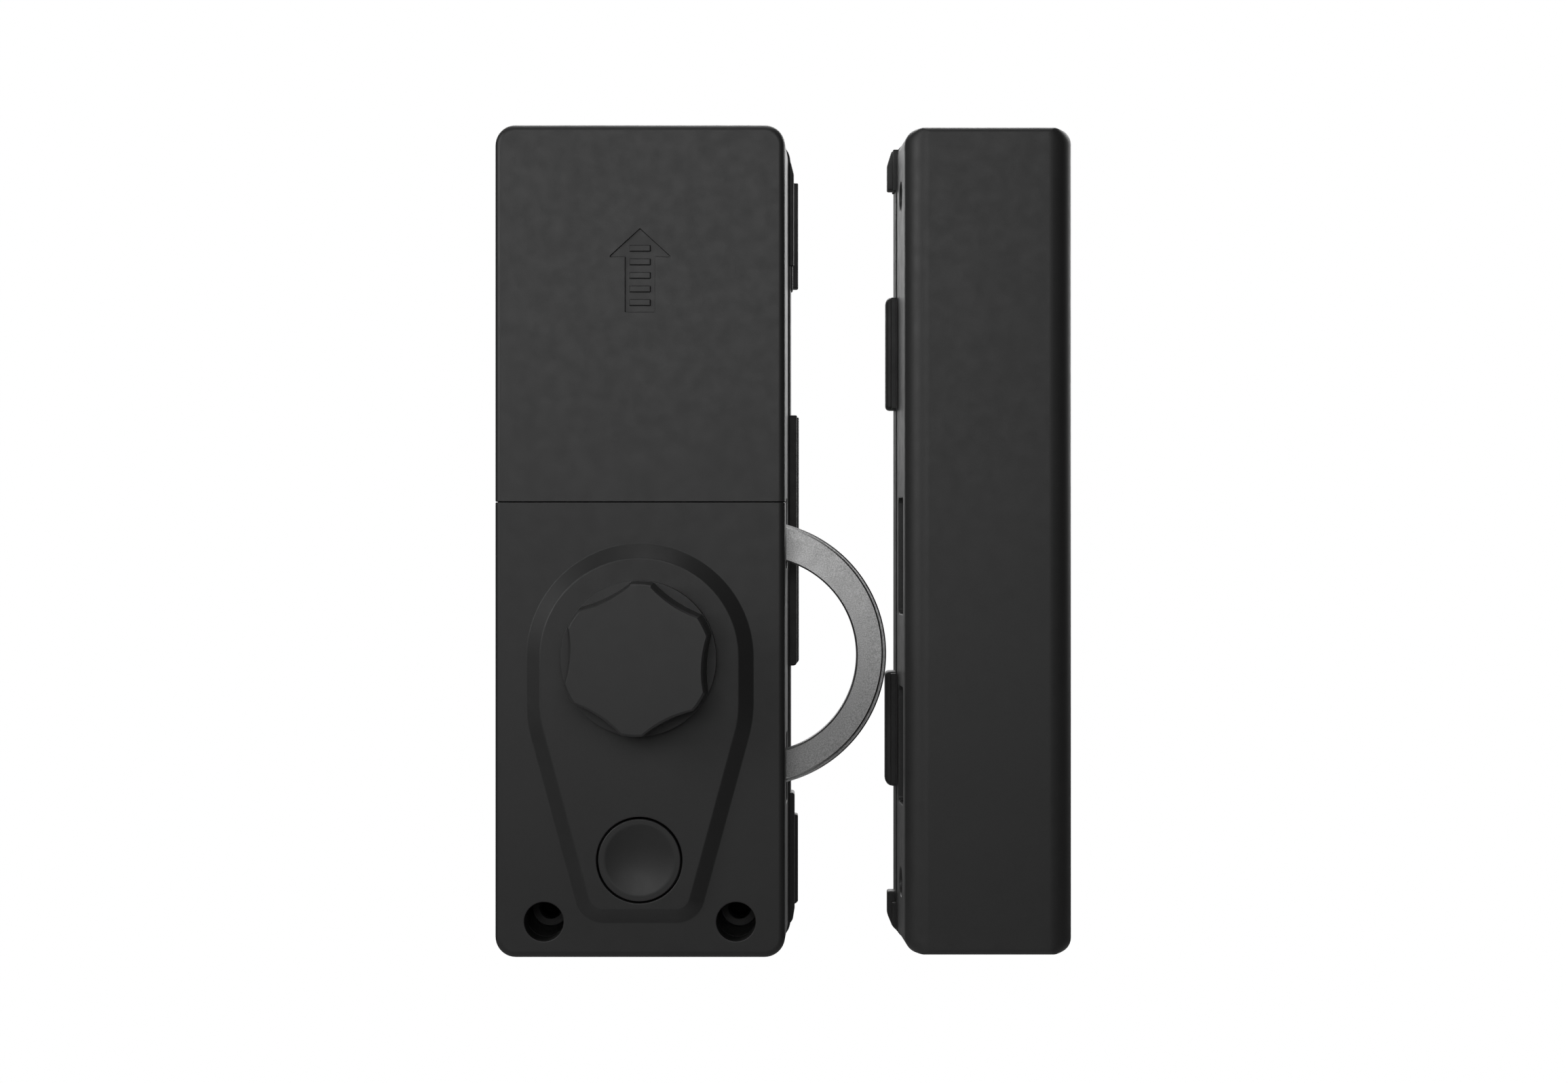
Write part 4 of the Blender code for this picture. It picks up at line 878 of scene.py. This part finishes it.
# Where the lock's side walls step in: from z, to z, and half the width there.
CHASSIS_NOTCHES = ((END_WALL - HALF_HEIGHT, -79.2, 15.2), (19.5, 26.5, 26.2), (-73.5, -66.5, 26.2))


LOCK_SLOT_Y = (-23.8, -12.8)
LOCK_SLOTS_Z = ((-6.3, 9.6), (-60.1, -44.0))
WELL_HOLE_R = 2.3


def lock_outline(half):
    return box_corners(-half, half, -HALF_HEIGHT, HALF_HEIGHT, CORNER_R, CORNER_STEPS)


def lock_hollow():
    inner_z = HALF_HEIGHT - END_WALL
    return notched(0, HALF_WIDTH - WALL, -inner_z, inner_z, CHASSIS_NOTCHES)


def build_chassis():
    solid = Solid()
    front_y, back_y = CHASSIS_LOW.y, CHASSIS_HIGH.y
    slots = [opening(*LOCK_SLOT_Y, low, high, 0.9) for low, high in LOCK_SLOTS_Z]
    seat_y, soft = -12.0, 0.3
    sections = [
        (WELL_R, front_y),
        (WELL_R, seat_y - soft),
        (WELL_R - soft, seat_y),
        (WELL_HOLE_R + soft, seat_y),
        (WELL_HOLE_R, seat_y + soft),
        (WELL_HOLE_R, back_y),
    ]
    bores = [(x, z, sections) for x, z in WELLS]
    corners = lock_outline(HALF_WIDTH)
    frame_band(solid, corners, lock_hollow(), front_y, back_y, HALF_WIDTH, 1, slots, bores)
    solid.piece(
        "chassis_band", "frame_black", "frame_black", "lock_body", "chassis_frame", shape=LOCK_SHAPE
    )


BASE_FLOOR = 2.0
BASE_HOLE_SOFT = 0.2


def base_tray(solid, corners, hollow, front_y, back_y, bores, rim=0.1):
    """A shallow tray with a rounded rim, and bores from its rim to its back as (x, z, profile)."""
    path = [(rim * 2, front_y), (0, front_y), (0, back_y), (0.6, back_y)]
    first, last = solid.swept(corners, rounded_path(path, [rim, 0.3], 4)[1:-1])
    mouth = solid.loop(at(hollow, front_y))
    floor = solid.loop(at(hollow, back_y - BASE_FLOOR))
    solid.bridge(mouth, floor)
    rim_holes = []
    back_holes = []
    for x, z, sections in bores:
        begin, end = solid.bored(x, z, sections, 32)
        rim_holes.append(begin)
        back_holes.append(end)
    solid.fill(first, mouth, *rim_holes)
    solid.cap(floor)
    solid.fill(last, *back_holes)


def screw_bore(front_y, back_y):
    """A screw's bore, wider at the back for its head."""
    shaft_r, head_r, seat_y = 1.4, 2.9, -4.5
    shaft = [(shaft_r, front_y), (shaft_r, seat_y)]
    return [*shaft, (head_r, seat_y), (head_r, back_y - BASE_HOLE_SOFT), (head_r + BASE_HOLE_SOFT, back_y)]


LOCK_BASE_SCREWS = [(x, z) for x in (-28.4, 28.4) for z in (23.0, -70.0)]


def build_base():
    solid = Solid()
    front_y, back_y = -9.3, BASE_HIGH.y
    through = [(WELL_HOLE_R, front_y), (WELL_HOLE_R, back_y - BASE_HOLE_SOFT)]
    through.append((WELL_HOLE_R + BASE_HOLE_SOFT, back_y))
    bores = [(x, z, through) for x, z in WELLS]
    bores += [(x, z, screw_bore(front_y, back_y)) for x, z in LOCK_BASE_SCREWS]
    base_tray(solid, lock_outline(LOCK_BACK_HALF), lock_hollow(), front_y, back_y, bores, 0.5)
    solid.piece("base_tray", "base_dark", "base_dark", "lock_body", "base_plate", shape=LOCK_SHAPE)


TAB_BACK_Y = -1.4


def build_tabs(name, body, near, blocks):
    """The interlocking tabs on a base.
    Each block is (front y, edge radius, corners), and runs into the base at near."""
    solid = Solid()
    for front_y, edge, spots in blocks:
        corners = [(x, z, radius, 4) for x, z, radius in spots]
        corners += [(near, spots[-1][1], 0, 0), (near, spots[0][1], 0, 0)]
        if near > spots[0][0]:
            corners.reverse()
        solid.prism(corners, front_y, TAB_BACK_Y, edge)
    solid.piece(name, "base_dark", "base_dark", body)


# Each tab's blocks, with corners from the lower end to the upper end: x, z and corner radius.
LOCK_TAB_BLOCKS = (
    (-9.1, 0.3, ((34.57, 64.2, 0.2), (34.57, 85.6, 2.0), (33.9, 88.3, 1.5), (33.0, 89.6, 0.6))),
    (-8.6, 0.3, ((34.35, 58.7, 0.4), (34.35, 65.0, 0.1))),
    (-5.4, 0.4, ((35.6, 59.3, 0.4), (35.6, 84.1, 0.3))),
    (-9.1, 0.3, ((35.3, -29.1, 0.9), (35.3, 29.4, 0.3))),
    (-5.4, 0.4, ((35.75, -28.7, 0.9), (35.75, 29.1, 0.3))),
    (-9.1, 0.3, ((33.0, -90.1, 0.6), (34.3, -88.4, 2.0), (34.75, -85.6, 2.0), (34.75, -58.7, 0.6))),
    (-5.4, 0.4, ((35.1, -85.2, 1.0), (35.55, -84.5, 0.2), (35.55, -64.1, 0.5))),
)
STRIKE_TAB_BLOCKS = (
    (-8.1, 0.25, ((57.75, 81.9, 0.2), (57.75, 91.6, 0.3))),
    (-5.6, 0.5, ((56.5, 82.3, 0.4), (56.5, 88.3, 3.0), (57.6, 91.8, 1.0))),
    (-8.1, 0.3, ((57.25, 30.9, 0.2), (57.25, 57.0, 0.3))),
    (-7.2, 0.9, ((56.1, 30.7, 1.0), (56.1, 57.1, 1.4))),
    (-8.1, 0.3, ((57.2, -57.0, 0.3), (57.2, -30.9, 0.2))),
    (-7.2, 0.9, ((55.95, -57.4, 1.8), (55.95, -30.4, 1.0))),
    (-8.1, 0.25, ((58.0, -90.6, 0.4), (57.57, -89.8, 0.6), (57.57, -84.5, 0.2))),
    (-5.6, 0.5, ((59.0, -91.8, 0.5), (57.6, -90.3, 2.0), (56.5, -87.6, 3.0), (56.5, -82.1, 0.5))),
)


# ---- Strike box ----
def strike_loop(inset_x, inset_z, y):
    """The strike cover's outline, whose corners grow sharper as the tall edges move in."""
    least, loss = 0.5, 0.75
    half = STRIKE_HALF - inset_x
    top = STRIKE_HALF_HEIGHT - inset_z
    across = max(least, STRIKE_CORNER_R - loss * inset_x)
    down = STRIKE_CORNER_R - inset_z
    quarter = []
    for k in range(STRIKE_CORNER_STEPS + 1):
        angle = math.pi / 2 * k / STRIKE_CORNER_STEPS
        quarter.append((half - across * (1 - math.cos(angle)), top - down * (1 - math.sin(angle))))
    points = [(x, y, z) for x, z in quarter]
    points += [(-x, y, z) for x, z in reversed(quarter)]
    points += [(-x, y, -z) for x, z in quarter]
    points += [(x, y, -z) for x, z in reversed(quarter)]
    return [(STRIKE_X + x, y, z) for x, y, z in points]


def build_strike_cover():
    """The tall edges are wide arcs that meet the sides at an angle. The short edges have a small radius."""
    solid = Solid()
    back_y = STRIKE_HIGH.y
    edge = 5.7
    widest = math.radians(66.0)
    soft = 1.3
    lip = 0.15
    steps = 18
    loops = [solid.loop(strike_loop(lip, lip, back_y)), solid.loop(strike_loop(0.0, 0.0, back_y - lip))]
    for i in range(steps + 1):
        angle = widest * (1 - i / steps)
        depth = edge * (1 - math.cos(angle))
        inset_x = edge * (math.sin(widest) - math.sin(angle))
        inset_z = 0.0 if depth > soft else soft - math.sqrt(max(0.0, soft**2 - (soft - depth) ** 2))
        loops.append(solid.loop(strike_loop(inset_x, inset_z, STRIKE_FRONT_Y + depth)))
    solid.skin(loops)
    solid.cap(loops[-1])
    half, height = STRIKE_HALF - WALL, STRIKE_HALF_HEIGHT - WALL
    inner = box_corners(STRIKE_X - half, STRIKE_X + half, -height, height, 1.4, 4)
    floor_y = STRIKE_FRONT_Y + 2.6
    slope = 0.8
    mouth, floor = solid.swept(inner, [(0, back_y), (0, floor_y + slope), (slope, floor_y)])
    solid.fill(loops[0], mouth)
    solid.cap(floor)
    solid.piece("strike_shell", "strike", "shell_black", "strike", "strike_cover", shape=STRIKE_SHAPE)


STRIKE_SLOT_Y = (-23.65, -12.25)
STRIKE_SLOTS_Z = ((-16.8, 9.9), (-60.3, -33.5))
STRIKE_HOLE_Y, STRIKE_HOLE_R = -17.95, 3.45
STRIKE_HOLES_Z = (79.2, -78.4)
STRIKE_NOTCHES_Z = ((28.0, 35.0), (-71.0, -64.0))
STRIKE_NOTCH_REACH = 3.9
STRIKE_BASE_SCREWS = ((92.4, 31.5), (64.4, -67.5))


def strike_outline(half):
    low, high = -STRIKE_HALF_HEIGHT, STRIKE_HALF_HEIGHT
    return box_corners(STRIKE_X - half, STRIKE_X + half, low, high, STRIKE_CORNER_R, STRIKE_CORNER_STEPS)


def strike_hollow():
    half, inner_z = STRIKE_HALF - WALL, STRIKE_HALF_HEIGHT - WALL
    notches = [(low, high, half - STRIKE_NOTCH_REACH) for low, high in STRIKE_NOTCHES_Z]
    return notched(STRIKE_X, half, -inner_z, inner_z, notches)


def build_strike_frame():
    solid = Solid()
    openings = [opening(*STRIKE_SLOT_Y, low, high, 1.2) for low, high in STRIKE_SLOTS_Z]
    for hole_z in STRIKE_HOLES_Z:
        round_hole = circle(STRIKE_HOLE_Y, hole_z, STRIKE_HOLE_R, 32)
        openings.append([(y, z, 0.0, 0) for y, z in round_hole])
    front_y, back_y = STRIKE_FRAME_LOW.y, STRIKE_FRAME_HIGH.y
    corners = strike_outline(STRIKE_HALF)
    side_x = STRIKE_X - STRIKE_HALF
    frame_band(solid, corners, strike_hollow(), front_y, back_y, side_x, -1, openings, [])
    solid.piece("strike_band", "frame_black", "frame_black", "strike", "strike_frame", shape=STRIKE_SHAPE)


def build_strike_base():
    solid = Solid()
    front_y, back_y = -8.2, STRIKE_BASE_HIGH.y
    bores = [(x, z, screw_bore(front_y, back_y)) for x, z in STRIKE_BASE_SCREWS]
    base_tray(solid, strike_outline(STRIKE_BACK_HALF), strike_hollow(), front_y, back_y, bores)
    solid.piece("strike_tray", "base_dark", "base_dark", "strike", "strike_base", shape=STRIKE_SHAPE)


def build_battery(node, number):
    """An AA cell with a nub at its positive end and soft edges. The nub is up in the odd cells."""
    low, high = box_mm(node)
    centre_x, centre_y = (low.x + high.x) / 2, (low.y + high.y) / 2
    radius = (high.x - low.x) / 2
    nub_r, nub = 2.6, 1.3
    up = number % 2 == 1
    length = high.z - low.z
    top = length - nub
    profile = [(0.0, 0.0), (radius - 1.6, 0.0), (radius - 1.4, 0.25), (radius - 0.5, 0.3), (radius, 0.9)]
    profile += [(radius, top - 1.4), (radius - 0.25, top - 0.5), (radius - 0.9, top)]
    profile += [(nub_r + 0.8, top), (nub_r, top + 0.25), (nub_r, length - 0.3)]
    profile += [(nub_r - 0.3, length), (0.0, length)]
    solid = Solid()
    solid.turned(0, 0, profile, 72)
    solid.points = [
        (centre_x + x, centre_y + z, low.z + (y if up else length - y)) for x, y, z in solid.points
    ]
    solid.piece(f"cell_{number}", "cell_wrap", "cell_wrap", "lock_body", node)


def dress_frame():
    """The CAD nodes that stay get the look of their slot."""
    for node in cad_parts.values():
        for holder in node.material_slots:
            slot = holder.material.name.split(".")[0]
            holder.material = LOOKS[slot]


# ---- Stage, in metres ----
def build_floor():
    """A matt disc far below the object, which glows a little to the camera only."""
    radius = 1.2
    steps = 96
    points = []
    for i in range(steps):
        angle = math.tau * i / steps
        points.append((radius * math.cos(angle), radius * math.sin(angle), 0.0))
    mesh = bpy.data.meshes.new("floor")
    mesh.from_pydata(points, [], [tuple(range(steps))])
    look = new_look("floor", grey(0.3), 0.6, grain=3.0, relief=0.01, tone=0.01, speckle=0.01)
    tree = look.node_tree
    seen = tree.nodes.new("ShaderNodeLightPath").outputs["Is Camera Ray"]
    shader = tree.nodes["Principled BSDF"]
    shader.inputs["Emission Color"].default_value = (0.7, 0.7, 0.7, 1.0)
    tree.links.new(seen, shader.inputs["Emission Strength"])
    mesh.materials.append(look)
    floor = bpy.data.objects.new("floor", mesh)
    floor.location = (0.03, 0.0, -0.42)
    bpy.context.scene.collection.objects.link(floor)


def add_softbox(name, turn, rise, size, power):
    """A softbox that faces the object, at degrees to the left of the camera and above it."""
    distance = 0.8
    centre = Vector((0.03, -0.03, 0.0))
    turn = math.radians(turn)
    rise = math.radians(rise)
    flat = math.cos(rise)
    away = Vector((-math.sin(turn) * flat, -math.cos(turn) * flat, math.sin(rise)))
    light = bpy.data.lights.new(name, "AREA")
    light.shape = "RECTANGLE"
    light.size, light.size_y = size
    light.energy = power
    obj = bpy.data.objects.new(name, light)
    obj.location = centre + away * distance
    obj.rotation_euler = away.to_track_quat("Z", "Y").to_euler()
    obj.visible_camera = False
    bpy.context.scene.collection.objects.link(obj)


WORLD_BRIGHT_WAY = (0.0, 0.87, 0.5)
WORLD_POWER = 2.1
# From the dark side to the bright one: place on the ramp, and level.
WORLD_LEVELS = ((0.0, 0.01), (0.6, 0.01), (0.85, 0.04), (0.905, 0.11), (0.935, 0.42), (0.955, 1.0))


def build_world():
    """White to the camera. To the object it is bright behind and a little above, and dark elsewhere."""
    world = bpy.data.worlds.new("studio")
    world.use_nodes = True
    tree = world.node_tree
    background = tree.nodes["Background"]
    direction = tree.nodes.new("ShaderNodeTexCoord").outputs["Generated"]
    rear = tree.nodes.new("ShaderNodeVectorMath")
    rear.operation = "DOT_PRODUCT"
    rear.inputs[1].default_value = WORLD_BRIGHT_WAY
    tree.links.new(direction, rear.inputs[0])
    ramp = tree.nodes.new("ShaderNodeValToRGB")
    elements = ramp.color_ramp.elements
    while len(elements) < len(WORLD_LEVELS):
        elements.new(0.5)
    for element, (spot, level) in zip(elements, WORLD_LEVELS):
        element.position = spot
        element.color = (level, level, level, 1.0)
    scale = tree.nodes.new("ShaderNodeMapRange")
    scale.inputs["From Min"].default_value = -1.0
    tree.links.new(rear.outputs["Value"], scale.inputs["Value"])
    tree.links.new(scale.outputs["Result"], ramp.inputs["Fac"])
    seen = tree.nodes.new("ShaderNodeLightPath").outputs["Is Camera Ray"]
    mix = tree.nodes.new("ShaderNodeMix")
    mix.data_type = "RGBA"
    tree.links.new(seen, mix.inputs["Factor"])
    brighter = tree.nodes.new("ShaderNodeVectorMath")
    brighter.operation = "SCALE"
    brighter.inputs["Scale"].default_value = WORLD_POWER
    tree.links.new(ramp.outputs["Color"], brighter.inputs[0])
    tree.links.new(brighter.outputs[0], mix.inputs["A"])
    mix.inputs["B"].default_value = (1.0, 1.0, 1.0, 1.0)
    tree.links.new(mix.outputs["Result"], background.inputs["Color"])
    bpy.context.scene.world = world


def build_camera():
    camera = bpy.data.cameras.new("camera")
    camera.lens = 61.55
    camera.sensor_width = 36.0
    obj = bpy.data.objects.new("camera", camera)
    obj.location = (0.03225, -0.635, -0.0001)
    obj.rotation_euler = (math.pi / 2, 0.0, 0.0)
    bpy.context.scene.collection.objects.link(obj)
    bpy.context.scene.camera = obj


def build_stage():
    build_floor()
    add_softbox("front", 5, 15, (0.5, 0.4), 1.42)
    add_softbox("left", 55, 18, (0.4, 0.4), 1.8)
    add_softbox("above", 0, 84, (0.4, 0.4), 0.8)
    add_softbox("behind", 180, 55, (0.5, 0.5), 3.0)
    add_softbox("right", -135, 18, (0.5, 0.5), 3.0)
    build_world()
    build_camera()
    view = bpy.context.scene.view_settings
    view.view_transform = "Standard"


build_stage()
dress_frame()
build_cover()
build_housing()
build_knob()
build_button()
build_ring()
build_chassis()
build_base()
build_strike_cover()
build_strike_frame()
build_strike_base()
for cell in range(1, 5):
    build_battery(f"battery_{cell}", cell)
build_tabs("lock_tabs", "lock_body", 31.0, LOCK_TAB_BLOCKS)
build_tabs("strike_tabs", "strike", 60.5, STRIKE_TAB_BLOCKS)
